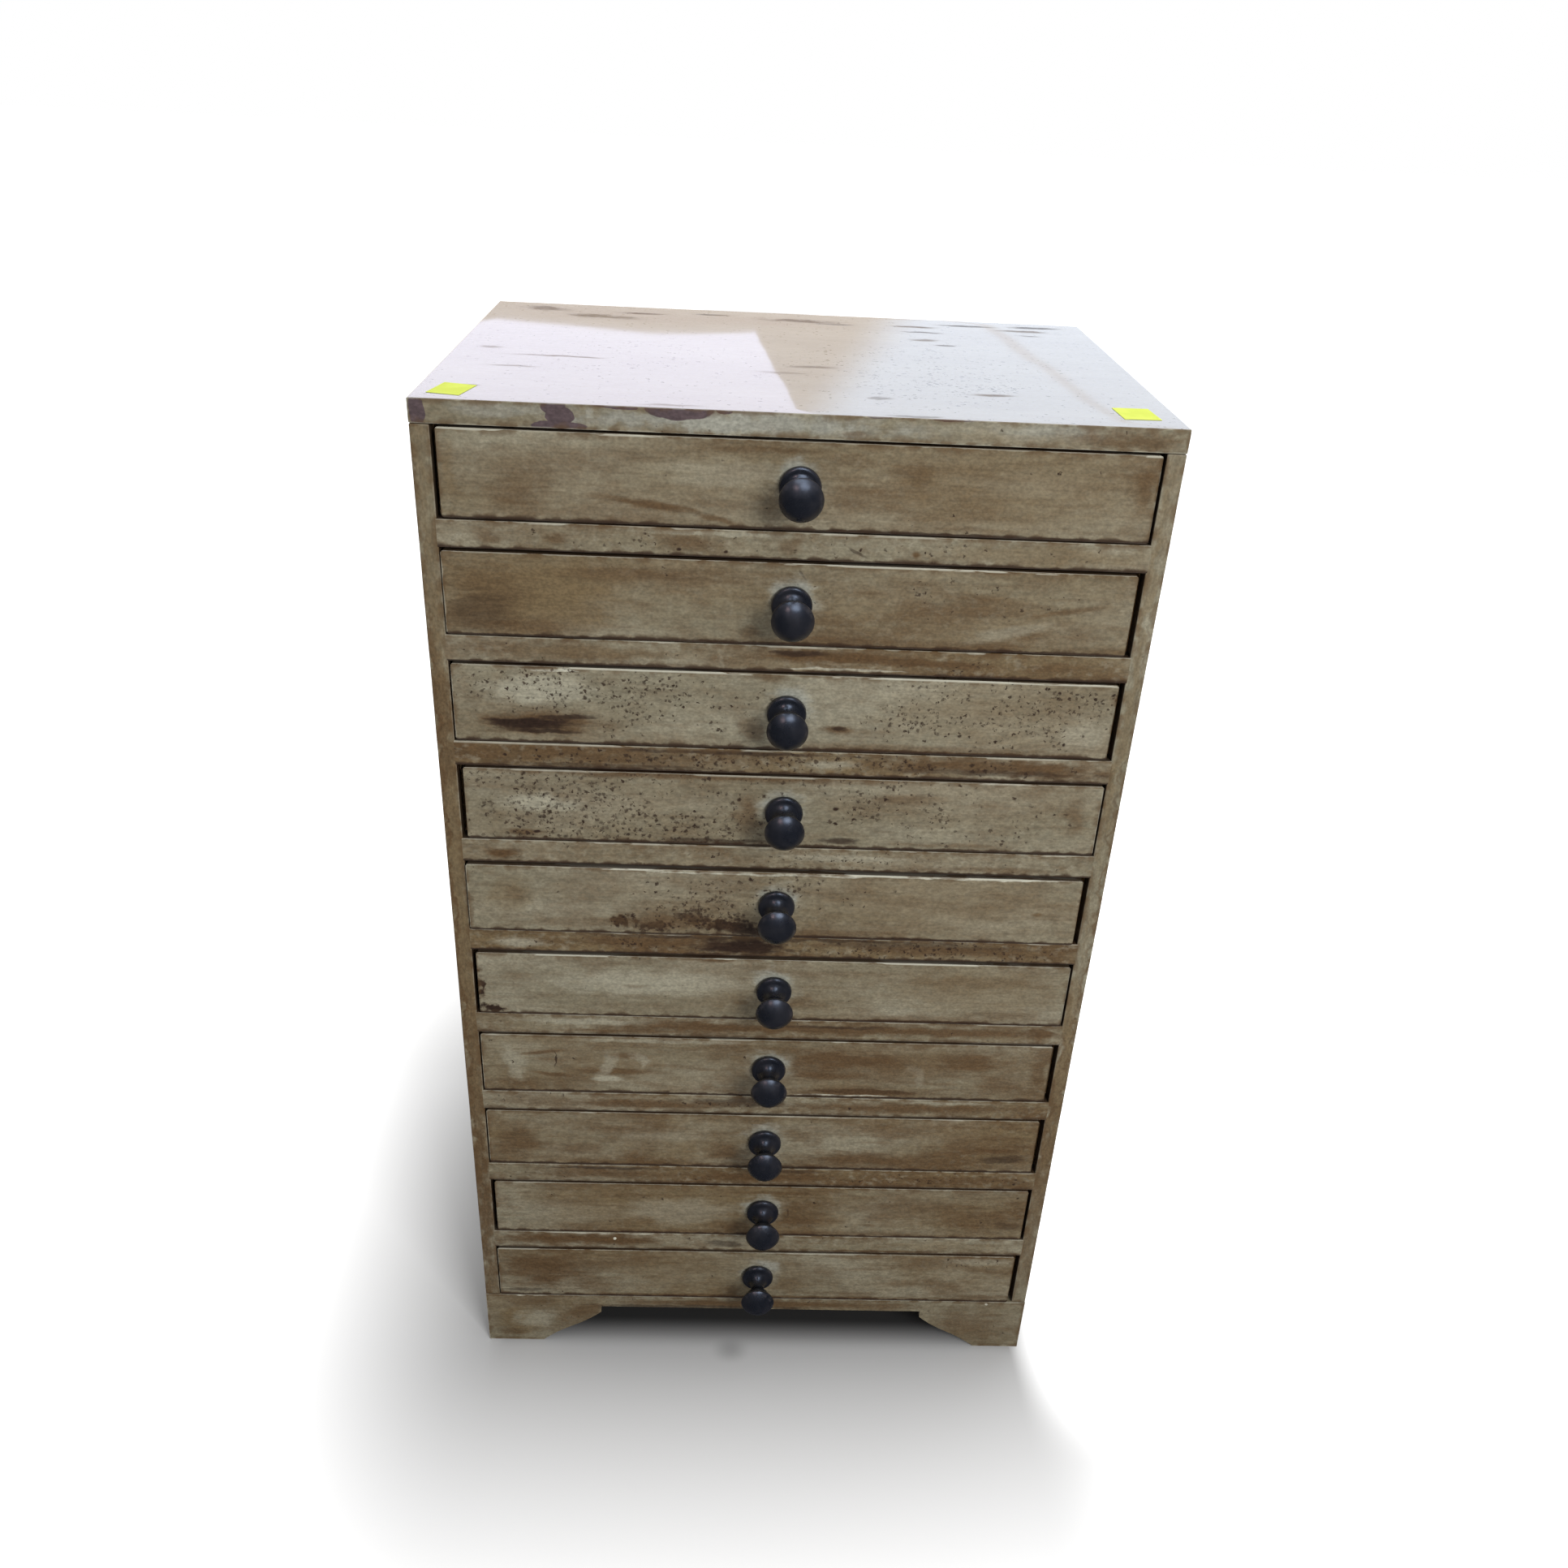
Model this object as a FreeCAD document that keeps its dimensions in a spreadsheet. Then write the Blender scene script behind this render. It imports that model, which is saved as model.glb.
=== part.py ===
import FreeCAD, Part
import os

import Sketcher

# Collectors cabinet: ten equal shallow drawers with turned knobs, in a painted carcass on a bracket plinth.
# Millimetres. +Z is up, -Y is the front with the knobs, +X is to the right as seen from the front.
# The origin lies on the floor, in the middle of the box that holds the whole cabinet with its knobs.

# Driving dimensions
SIZES = {
    "cabinet_width": 600,
    "cabinet_height": 1050,
    "cabinet_depth": 425,
    "drawer_count": 10,
    "top_thickness": 20,
    "side_thickness": 16,
    "edge_round": 1.2,
    "rail_height": 24,
    "rail_depth": 45,
    "tenon_length": 8,
    "tenon_height": 12,
    "tenon_depth": 25,
    "runner_width": 20,
    "back_thickness": 6,
    "rebate_width": 8,
    "rebate_depth": 8,
    "plinth_height": 73.5,
    "plinth_thickness": 18,
    "plinth_back_clearance": 20,
    "arch_height": 56,
    "arch_step": 9,
    "left_foot_flat": 61,
    "right_foot_flat": 51.5,
    "side_foot_flat": 55,
    "ogee_run": 66,
    "ogee_radius": 150,
    "front_thickness": 16,
    "front_play": 4,
    "gap_above": 1.6,
    "gap_below": 0.8,
    "tray_play": 7,
    "tray_wall": 10,
    "tray_height": 56,
    "tray_clearance": 2,
    "tray_bottom": 4,
    "groove_depth": 5,
    "groove_lift": 6,
    "knob_projection": 48,
    "knob_base_radius": 17,
    "knob_rim": 3.5,
    "knob_shoulder": 7,
    "knob_shoulder_radius": 12.5,
    "knob_neck_radius": 7,
    "knob_neck_at": 19,
    "knob_flare_radius": 10,
    "knob_flare_at": 29.5,
    "knob_head_radius": 17.5,
    "knob_head_back": 32.5,
    "knob_head_at": 37.5,
    "shoulder_curve": 4,
    "lower_neck_curve": 14,
    "upper_neck_curve": 18,
    "head_edge_curve": 5,
    "dome_curve": 19.5,
    "screw_radius": 2,
    "screw_clearance": 0.05,
    "screw_hole_radius": 2.4,
    "screw_head_radius": 4,
    "screw_head_thickness": 2.4,
    "screw_bore_depth": 22,
    "screw_tip_gap": 1,
}

# How far each drawer, from the top one down, sits to the right of the middle and stands out of the front
DRAWER_SHIFT = (0.4, -1.5, -1.2, 0.9, -1.5, 0.3, -1.0, -1.1, 0.5, -1.4)
DRAWER_OUT = (0.0, 1.2, 0.4, 0.2, 2.5, 1.8, 0.4, 0.2, 0.4, 0.8)
FURTHEST_OUT = "Sizes.drawer_05_out"

# Places and sizes that follow from the driving dimensions
HALF_WIDTH = "(Sizes.cabinet_width / 2)"
FRONT_Y = f"(-(Sizes.cabinet_depth - Sizes.knob_projection - {FURTHEST_OUT}) / 2)"
BACK_Y = f"({FRONT_Y} + Sizes.cabinet_depth)"
SIDES_TOP = "(Sizes.cabinet_height - Sizes.top_thickness)"
INSIDE_WIDTH = "(Sizes.cabinet_width - 2 * Sizes.side_thickness)"
RAILS_TOGETHER = "((Sizes.drawer_count - 1) * Sizes.rail_height)"
BAYS_TOGETHER = f"({SIDES_TOP} - Sizes.plinth_height - {RAILS_TOGETHER})"
BAY_HEIGHT = f"({BAYS_TOGETHER} / Sizes.drawer_count)"
PITCH = f"({BAY_HEIGHT} + Sizes.rail_height)"
FRONT_WIDTH = f"({INSIDE_WIDTH} - Sizes.front_play)"
FRONT_HEIGHT = f"({BAY_HEIGHT} - Sizes.gap_above - Sizes.gap_below)"
TRAY_WIDTH = f"({INSIDE_WIDTH} - Sizes.tray_play)"
REBATE_FLOOR = "(Sizes.cabinet_depth - Sizes.rebate_depth)"
TRAY_LENGTH = f"({REBATE_FLOOR} - Sizes.front_thickness - {FURTHEST_OUT} - Sizes.tray_clearance)"
BACK_WALL_HEIGHT = "(Sizes.tray_height - Sizes.groove_lift - Sizes.tray_bottom)"

doc = FreeCAD.newDocument("collectors_cabinet")
sheet = doc.addObject("Spreadsheet::Sheet", "Sizes")
nodes = {}


def fill_sheet():
    """Write every driving dimension to its own named cell."""
    sizes = dict(SIZES)
    for number, (shift, out) in enumerate(zip(DRAWER_SHIFT, DRAWER_OUT), 1):
        sizes[f"drawer_{number:02d}_shift"] = shift
        sizes[f"drawer_{number:02d}_out"] = out
    for row, (name, size) in enumerate(sizes.items(), 1):
        sheet.set(f"A{row}", name)
        sheet.set(f"B{row}", str(size))
        sheet.setAlias(f"B{row}", name)
    doc.recompute()


def number_of(expression):
    """The present value of an expression over the sheet."""
    return float(sheet.evalExpression(expression))


def keep(label, piece):
    """Name a finished piece and list it for writing."""
    piece.Label = label
    nodes[label] = piece
    return piece


def place(piece, x="0", y="0", z="0"):
    """Bind the place of a piece to expressions."""
    for axis, expression in zip("xyz", (x, y, z)):
        piece.setExpression(f"Placement.Base.{axis}", expression)


def box(name, length, width, height, x="0", y="0", z="0"):
    """A squared board, from its lowest corner."""
    board = doc.addObject("Part::Box", name)
    board.setExpression("Length", length)
    board.setExpression("Width", width)
    board.setExpression("Height", height)
    place(board, x, y, z)
    return board


def body(name, x="0", y="0", z="0"):
    """An empty body at its place."""
    made = doc.addObject("PartDesign::Body", name)
    place(made, x, y, z)
    return made


def origin_feature(owner, role):
    """One of the body's own planes or axes."""
    return next(each for each in owner.Origin.OriginFeatures if each.Role == role)


def sketch_on(owner, plane, name, offset=None):
    """A sketch on one of the body's own planes, moved along the plane's normal by an expression."""
    sketch = owner.newObject("Sketcher::SketchObject", name)
    sketch.AttachmentSupport = [(origin_feature(owner, plane), "")]
    sketch.MapMode = "FlatFace"
    if offset:
        sketch.setExpression("AttachmentOffset.Base.z", offset)
    return sketch


def arc_between(start, end, radius, side):
    """The shorter arc from start to end, which bows to the left (side 1) or right (side -1) of its chord."""
    chord = end - start
    middle = (start + end) * 0.5
    left = FreeCAD.Vector(-chord.y, chord.x, 0).normalize()
    half = chord.Length / 2
    sagitta = radius - (radius ** 2 - half ** 2) ** 0.5
    crown = middle + left * side * sagitta
    return Part.Arc(end, crown, start) if side > 0 else Part.Arc(start, crown, end)


def outline(sketch, corners, bows=None):
    """Close a line of corners, each a pair of expressions.

    bows gives, for the edge that leaves a corner, its radius as an expression and the side it bows to.
    """
    bows = bows or {}
    points = [FreeCAD.Vector(number_of(across), number_of(along), 0) for across, along in corners]
    starts = []
    ends = []
    for index, start in enumerate(points):
        end = points[(index + 1) % len(points)]
        if index in bows:
            radius, side = bows[index]
            edge = sketch.addGeometry(arc_between(start, end, number_of(radius), side), False)
            forward = (sketch.Geometry[edge].StartPoint - start).Length < 1e-6
        else:
            edge = sketch.addGeometry(Part.LineSegment(start, end), False)
            forward = True
        starts.append((edge, 1 if forward else 2))
        ends.append((edge, 2 if forward else 1))
    for index, (across, along) in enumerate(corners):
        corner = starts[index]
        sketch.addConstraint(Sketcher.Constraint("Coincident", *ends[index - 1], *corner))
        bind(sketch, Sketcher.Constraint("DistanceX", *corner, points[index].x), f"across_{index}", across)
        bind(sketch, Sketcher.Constraint("DistanceY", *corner, points[index].y), f"along_{index}", along)
    for index, (radius, _side) in bows.items():
        bind(sketch, Sketcher.Constraint("Radius", index, number_of(radius)), f"radius_{index}", radius)


def bind(sketch, constraint, name, expression):
    """Add a sized constraint and bind it to an expression."""
    index = sketch.addConstraint(constraint)
    sketch.renameConstraint(index, name)
    sketch.setExpression(f"Constraints.{name}", expression)


def rectangle(sketch, left, right, low, high):
    """A rectangle between four expressions."""
    outline(sketch, [(left, low), (right, low), (right, high), (left, high)])


def circle(sketch, across, along, radius):
    """A circle whose middle and radius are expressions."""
    middle = FreeCAD.Vector(number_of(across), number_of(along), 0)
    edge = sketch.addGeometry(Part.Circle(middle, FreeCAD.Vector(0, 0, 1), number_of(radius)), False)
    bind(sketch, Sketcher.Constraint("DistanceX", edge, 3, middle.x), "across", across)
    bind(sketch, Sketcher.Constraint("DistanceY", edge, 3, middle.y), "along", along)
    bind(sketch, Sketcher.Constraint("Radius", edge, number_of(radius)), "radius", radius)


def pad(owner, sketch, length, reversed_way=False, name="Pad"):
    """Thicken a sketch along its normal, or against it."""
    made = owner.newObject("PartDesign::Pad", name)
    made.Profile = sketch
    made.setExpression("Length", length)
    made.Reversed = reversed_way
    sketch.Visibility = False
    return made


def pocket(owner, sketch, length, reversed_way=False, both_ways=False, name="Pocket"):
    """Cut a sketch against its normal, along it, or to both sides."""
    made = owner.newObject("PartDesign::Pocket", name)
    made.Profile = sketch
    made.setExpression("Length", length)
    made.Reversed = reversed_way
    made.Midplane = both_ways
    sketch.Visibility = False
    return made


def round_edges(owner, feature, wanted, radius="Sizes.edge_round"):
    """Round the edges of a feature that the wanted test picks out by their middle."""
    doc.recompute()
    names = []
    for index, edge in enumerate(feature.Shape.Edges, 1):
        if wanted(edge.CenterOfMass):
            names.append(f"Edge{index}")
    rounding = owner.newObject("PartDesign::Fillet", "Rounding")
    rounding.Base = (feature, names)
    rounding.setExpression("Radius", radius)
    return rounding


def near(value, *targets):
    """Whether a number is one of the targets, within a hundredth of a millimetre."""
    return any(abs(value - target) < 0.01 for target in targets)


def compound(label, pieces):
    """Loose solids that share one node."""
    group = doc.addObject("Part::Compound", label)
    group.Links = pieces
    return keep(label, group)


def bay_floor(number):
    """The height that a drawer bay starts at, counted from the top one."""
    return f"(Sizes.plinth_height + (Sizes.drawer_count - {number}) * {PITCH})"


def top_board():
    """The lid board, flush with the front and the sides, rebated underneath for the back panel."""
    made = body("TopBoard", y=FRONT_Y, z=SIDES_TOP)
    plan = sketch_on(made, "XY_Plane", "TopPlan")
    rectangle(plan, f"-{HALF_WIDTH}", HALF_WIDTH, "0", "Sizes.cabinet_depth")
    pad(made, plan, "Sizes.top_thickness")
    slot_end = f"({HALF_WIDTH} - Sizes.side_thickness + Sizes.rebate_width)"
    slot = sketch_on(made, "XY_Plane", "TopRebate")
    rectangle(slot, f"-{slot_end}", slot_end, REBATE_FLOOR, "Sizes.cabinet_depth")
    rebated = pocket(made, slot, "Sizes.rebate_depth", reversed_way=True)
    half = number_of(HALF_WIDTH)
    depth = number_of("Sizes.cabinet_depth")
    thickness = number_of("Sizes.top_thickness")

    def worn(middle):
        """The rim of the upper face, the upright corners and the lower front edge."""
        at_corner = near(abs(middle.x), half) and near(middle.y, 0, depth)
        at_front_foot = near(middle.y, 0) and near(middle.z, 0)
        return near(middle.z, thickness) or at_corner or at_front_foot

    round_edges(made, rebated, worn)
    keep("top_board", made)


def side_panel(label, hand):
    """One side, rebated for the back panel and mortised for the rails.

    hand is -1 on the left and 1 on the right.
    """
    name = label.title().replace("_", "")
    inner = f"({-hand} * Sizes.side_thickness)"
    shoulder = f"({-hand} * (Sizes.side_thickness - Sizes.rebate_width))"
    made = body(name, x=f"({hand} * {HALF_WIDTH})", y=FRONT_Y, z="Sizes.plinth_height")
    plan = sketch_on(made, "XY_Plane", name + "Plan")
    outline(
        plan,
        [
            ("0", "0"),
            (inner, "0"),
            (inner, REBATE_FLOOR),
            (shoulder, REBATE_FLOOR),
            (shoulder, "Sizes.cabinet_depth"),
            ("0", "Sizes.cabinet_depth"),
        ],
    )
    pad(made, plan, f"({SIDES_TOP} - Sizes.plinth_height)")
    mortise = sketch_on(made, "YZ_Plane", name + "Mortise", offset=inner)
    near_edge = "((Sizes.rail_depth - Sizes.tenon_depth) / 2)"
    far_edge = f"({near_edge} + Sizes.tenon_depth)"
    low_edge = f"({BAY_HEIGHT} + (Sizes.rail_height - Sizes.tenon_height) / 2)"
    high_edge = f"({low_edge} + Sizes.tenon_height)"
    rectangle(mortise, near_edge, far_edge, low_edge, high_edge)
    first = pocket(made, mortise, "Sizes.tenon_length", reversed_way=hand > 0)
    rows = made.newObject("PartDesign::LinearPattern", name + "Mortises")
    rows.Originals = [first]
    rows.Direction = (origin_feature(made, "Z_Axis"), [""])
    rows.setExpression("Length", f"((Sizes.drawer_count - 2) * {PITCH})")
    rows.setExpression("Occurrences", "Sizes.drawer_count - 1")
    made.Tip = rows
    keep(label, made)


def rail(number):
    """A front rail under one drawer, with a stub tenon on each end."""
    half_inside = f"({INSIDE_WIDTH} / 2)"
    half_long = f"({half_inside} + Sizes.tenon_length)"
    made = body(f"Rail{number}", y=FRONT_Y, z=f"({bay_floor(number)} - Sizes.rail_height)")
    face = sketch_on(made, "XZ_Plane", f"Rail{number}Face")
    rectangle(face, f"-{half_inside}", half_inside, "0", "Sizes.rail_height")
    pad(made, face, "Sizes.rail_depth", reversed_way=True)
    near_edge = "((Sizes.rail_depth - Sizes.tenon_depth) / 2)"
    low_edge = "((Sizes.rail_height - Sizes.tenon_height) / 2)"
    tenon = sketch_on(made, "XZ_Plane", f"Rail{number}Tenon", offset=f"-{near_edge}")
    rectangle(tenon, f"-{half_long}", half_long, low_edge, f"({low_edge} + Sizes.tenon_height)")
    pad(made, tenon, "Sizes.tenon_depth", reversed_way=True, name="TenonPad")
    keep(f"rail_{number}", made)


def runners(label, hand):
    """The strips behind the rails that the drawers of one side run on and under."""
    strips = []
    inner = f"({INSIDE_WIDTH} / 2)"
    start = f"(-{inner})" if hand < 0 else f"({inner} - Sizes.runner_width)"
    for number in range(1, len(DRAWER_OUT)):
        strips.append(
            box(
                f"{label}_{number}",
                "Sizes.runner_width",
                f"({REBATE_FLOOR} - Sizes.rail_depth)",
                "Sizes.rail_height",
                x=start,
                y=f"({FRONT_Y} + Sizes.rail_depth)",
                z=f"({bay_floor(number)} - Sizes.rail_height)",
            )
        )
    compound(label, strips)


def bracket_outline(sketch, left, right, flat_left, flat_right):
    """The outline of a plinth board: two bracket feet and the flat arch between their ogee curves."""
    high = "(Sizes.arch_height - Sizes.arch_step)"
    left_flat_end = f"({left} + {flat_left})"
    left_middle = f"({left_flat_end} + Sizes.ogee_run / 2)"
    left_nose = f"({left_flat_end} + Sizes.ogee_run)"
    right_flat_end = f"({right} - {flat_right})"
    right_middle = f"({right_flat_end} - Sizes.ogee_run / 2)"
    right_nose = f"({right_flat_end} - Sizes.ogee_run)"
    corners = [
        (left, "0"),
        (left_flat_end, "0"),
        (left_middle, f"({high} / 2)"),
        (left_nose, high),
        (left_nose, "Sizes.arch_height"),
        (right_nose, "Sizes.arch_height"),
        (right_nose, high),
        (right_middle, f"({high} / 2)"),
        (right_flat_end, "0"),
        (right, "0"),
        (right, "Sizes.plinth_height"),
        (left, "Sizes.plinth_height"),
    ]
    curve = "Sizes.ogee_radius"
    outline(sketch, corners, {1: (curve, 1), 2: (curve, -1), 6: (curve, -1), 7: (curve, 1)})


def plinth_front():
    """The full-width base board with the bracket feet."""
    made = body("PlinthFront", y=FRONT_Y)
    face = sketch_on(made, "XZ_Plane", "PlinthFrontFace")
    bracket_outline(face, f"-{HALF_WIDTH}", HALF_WIDTH, "Sizes.left_foot_flat", "Sizes.right_foot_flat")
    pad(made, face, "Sizes.plinth_thickness", reversed_way=True)
    keep("plinth_front", made)


def plinth_side(label, hand):
    """A base board under one side, butted behind the front one."""
    name = label.title().replace("_", "")
    made = body(name, x=f"({hand} * {HALF_WIDTH})", y=FRONT_Y)
    face = sketch_on(made, "YZ_Plane", name + "Face")
    behind_front = "Sizes.plinth_thickness"
    flat = "Sizes.side_foot_flat"
    bracket_outline(face, behind_front, "Sizes.cabinet_depth", f"({flat} - {behind_front})", flat)
    pad(made, face, "Sizes.plinth_thickness", reversed_way=hand > 0)
    keep(label, made)


def carcass():
    """Everything that stays still."""
    top_board()
    side_panel("left_side", -1)
    side_panel("right_side", 1)
    for number in range(1, len(DRAWER_OUT)):
        rail(number)
    runners("left_runners", -1)
    runners("right_runners", 1)
    plinth_front()
    plinth_side("plinth_left", -1)
    plinth_side("plinth_right", 1)
    between = "(Sizes.cabinet_width - 2 * Sizes.plinth_thickness)"
    plinth_back = box(
        "PlinthBack",
        between,
        "Sizes.plinth_thickness",
        "(Sizes.arch_height - Sizes.plinth_back_clearance)",
        x=f"(-{between} / 2)",
        y=f"({BACK_Y} - Sizes.plinth_thickness)",
        z="Sizes.plinth_back_clearance",
    )
    keep("plinth_back", plinth_back)
    bottom_board = box(
        "BottomBoard",
        between,
        "(Sizes.cabinet_depth - Sizes.plinth_thickness)",
        "(Sizes.plinth_height - Sizes.arch_height)",
        x=f"(-{between} / 2)",
        y=f"({FRONT_Y} + Sizes.plinth_thickness)",
        z="Sizes.arch_height",
    )
    keep("bottom_board", bottom_board)
    panel_width = f"({INSIDE_WIDTH} + 2 * Sizes.rebate_width)"
    back_panel = box(
        "BackPanel",
        panel_width,
        "Sizes.back_thickness",
        f"({SIDES_TOP} + Sizes.rebate_depth - Sizes.plinth_height)",
        x=f"(-{panel_width} / 2)",
        y=f"({FRONT_Y} + {REBATE_FLOOR})",
        z="Sizes.plinth_height",
    )
    keep("back_panel", back_panel)


def drawer_front(drawer, x, y, z):
    """The painted front, with a stopped groove for the bottom and a hole for the knob's screw."""
    made = body(drawer + "_front", x, y, z)
    half = f"({FRONT_WIDTH} / 2)"
    face = sketch_on(made, "XZ_Plane", drawer + "_face")
    rectangle(face, f"-{half}", half, "0", FRONT_HEIGHT)
    pad(made, face, "Sizes.front_thickness", reversed_way=True)
    groove = sketch_on(made, "YZ_Plane", drawer + "_groove")
    rectangle(
        groove,
        "(Sizes.front_thickness - Sizes.groove_depth)",
        "Sizes.front_thickness",
        "Sizes.groove_lift",
        "(Sizes.groove_lift + Sizes.tray_bottom)",
    )
    pocket(made, groove, f"({TRAY_WIDTH} - 2 * Sizes.tray_wall + 2 * Sizes.groove_depth)", both_ways=True)
    hole = sketch_on(made, "XZ_Plane", drawer + "_hole")
    circle(hole, "0", f"({FRONT_HEIGHT} / 2)", "Sizes.screw_hole_radius")
    drilled = pocket(made, hole, "Sizes.front_thickness", name="ScrewHole")
    middle_height = number_of(FRONT_HEIGHT) / 2

    def worn(middle):
        """The rim of the face, without the mouth of the screw's hole."""
        at_hole = near(middle.x, 0) and near(middle.z, middle_height)
        return near(middle.y, 0) and not at_hole

    round_edges(made, drilled, worn)
    keep(drawer + "_front", made)


def drawer_tray(drawer, x, y, z):
    """The two grooved side walls and the back wall that stands on the bottom."""
    half = f"({TRAY_WIDTH} / 2)"
    behind = f"({y} + Sizes.front_thickness)"
    height = "Sizes.tray_height"
    walls = []
    for side, hand in (("left", -1), ("right", 1)):
        outer = f"({x} - {half})" if hand < 0 else f"({x} + {half} - Sizes.tray_wall)"
        inner = f"({outer} + Sizes.tray_wall - Sizes.groove_depth)" if hand < 0 else outer
        wall = box(f"{drawer}_{side}_board", "Sizes.tray_wall", TRAY_LENGTH, height, outer, behind, z)
        groove = box(
            f"{drawer}_{side}_groove",
            "Sizes.groove_depth",
            TRAY_LENGTH,
            "Sizes.tray_bottom",
            inner,
            behind,
            f"({z} + Sizes.groove_lift)",
        )
        grooved = doc.addObject("Part::Cut", f"{drawer}_{side}_wall")
        grooved.Base = wall
        grooved.Tool = groove
        walls.append(grooved)
    walls.append(
        box(
            f"{drawer}_back_wall",
            f"({TRAY_WIDTH} - 2 * Sizes.tray_wall)",
            "Sizes.tray_wall",
            BACK_WALL_HEIGHT,
            f"({x} - {half} + Sizes.tray_wall)",
            f"({behind} + {TRAY_LENGTH} - Sizes.tray_wall)",
            f"({z} + Sizes.groove_lift + Sizes.tray_bottom)",
        )
    )
    compound(drawer + "_tray", walls)


def drawer_bottom(drawer, x, y, z):
    """The thin panel that slides in the grooves and closes the tray below."""
    width = f"({TRAY_WIDTH} - 2 * Sizes.tray_wall + 2 * Sizes.groove_depth)"
    panel = box(
        drawer + "_panel",
        width,
        f"({TRAY_LENGTH} + Sizes.groove_depth)",
        "Sizes.tray_bottom",
        f"({x} - {width} / 2)",
        f"({y} + Sizes.front_thickness - Sizes.groove_depth)",
        f"({z} + Sizes.groove_lift)",
    )
    keep(drawer + "_bottom", panel)


def knob_turning(drawer, x, y, z):
    """The turned knob: a round base, a waisted neck and a mushroom head, bored for its screw."""
    half_profile = doc.addObject("Sketcher::SketchObject", drawer + "_profile")
    bore = "(Sizes.screw_radius + Sizes.screw_clearance)"
    corners = [
        (bore, "0"),
        ("Sizes.knob_base_radius", "0"),
        ("Sizes.knob_base_radius", "(-Sizes.knob_rim)"),
        ("Sizes.knob_shoulder_radius", "(-Sizes.knob_shoulder)"),
        ("Sizes.knob_neck_radius", "(-Sizes.knob_neck_at)"),
        ("Sizes.knob_flare_radius", "(-Sizes.knob_flare_at)"),
        ("(Sizes.knob_head_radius - 1)", "(-Sizes.knob_head_back)"),
        ("Sizes.knob_head_radius", "(-Sizes.knob_head_at)"),
        ("0", "(-Sizes.knob_projection)"),
        ("0", "(-Sizes.screw_bore_depth)"),
        (bore, "(-Sizes.screw_bore_depth)"),
    ]
    bows = {
        2: ("Sizes.shoulder_curve", 1),
        3: ("Sizes.lower_neck_curve", -1),
        4: ("Sizes.upper_neck_curve", -1),
        6: ("Sizes.head_edge_curve", 1),
        7: ("Sizes.dome_curve", 1),
    }
    outline(half_profile, corners, bows)
    turning = doc.addObject("Part::Revolution", drawer + "_turning")
    turning.Source = half_profile
    turning.Axis = FreeCAD.Vector(0, 1, 0)
    turning.Base = FreeCAD.Vector(0, 0, 0)
    turning.Angle = 360
    turning.Solid = True
    place(turning, x, y, z)
    return turning


def cylinder(name, radius, length, x, y, z):
    """A round bar that runs forwards from its back end."""
    bar = doc.addObject("Part::Cylinder", name)
    bar.Placement.Rotation = FreeCAD.Rotation(FreeCAD.Vector(1, 0, 0), 90)
    bar.setExpression("Radius", radius)
    bar.setExpression("Height", length)
    place(bar, x, y, z)
    return bar


def knob_screw(drawer, x, y, z):
    """The machine screw that holds the knob from inside the drawer."""
    inside = f"({y} + Sizes.front_thickness)"
    head_back = f"({inside} + Sizes.screw_head_thickness)"
    reach = "(Sizes.front_thickness + Sizes.screw_bore_depth - Sizes.screw_tip_gap)"
    head_thickness = "Sizes.screw_head_thickness"
    screw = doc.addObject("Part::Fuse", drawer + "_screw")
    screw.Base = cylinder(drawer + "_shank", "Sizes.screw_radius", reach, x, inside, z)
    screw.Tool = cylinder(drawer + "_head", "Sizes.screw_head_radius", head_thickness, x, head_back, z)
    return screw


def drawer(number):
    """One drawer: front, tray walls, bottom, and its knob with the screw that holds it."""
    name = f"drawer_{number:02d}"
    x = f"Sizes.{name}_shift"
    y = f"({FRONT_Y} - Sizes.{name}_out)"
    z = f"({bay_floor(number)} + Sizes.gap_below)"
    drawer_front(name, x, y, z)
    drawer_tray(name, x, y, z)
    drawer_bottom(name, x, y, z)
    middle = f"({z} + {FRONT_HEIGHT} / 2)"
    compound(name + "_knob", [knob_turning(name, x, y, middle), knob_screw(name, x, y, middle)])


def check_document():
    """Stop if any feature failed or any piece is empty or invalid."""
    for each in doc.Objects:
        if {"Invalid", "Error"} & set(each.State):
            raise RuntimeError(f"{each.Label} failed: {each.State}")
    for label, piece in nodes.items():
        if piece.Shape.isNull() or not piece.Shape.isValid() or not piece.Shape.Solids:
            raise RuntimeError(f"{label} has no sound solid")


def write_parts():
    """Write each piece to its own file."""
    os.makedirs("parts", exist_ok=True)
    for label, piece in nodes.items():
        piece.Shape.exportStep(f"parts/{label}.step")


fill_sheet()
carcass()
for drawer_number in range(1, len(DRAWER_OUT) + 1):
    drawer(drawer_number)
doc.recompute()
check_document()
write_parts()
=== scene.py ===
import math
import bpy
from mathutils import Matrix, Vector


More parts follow.
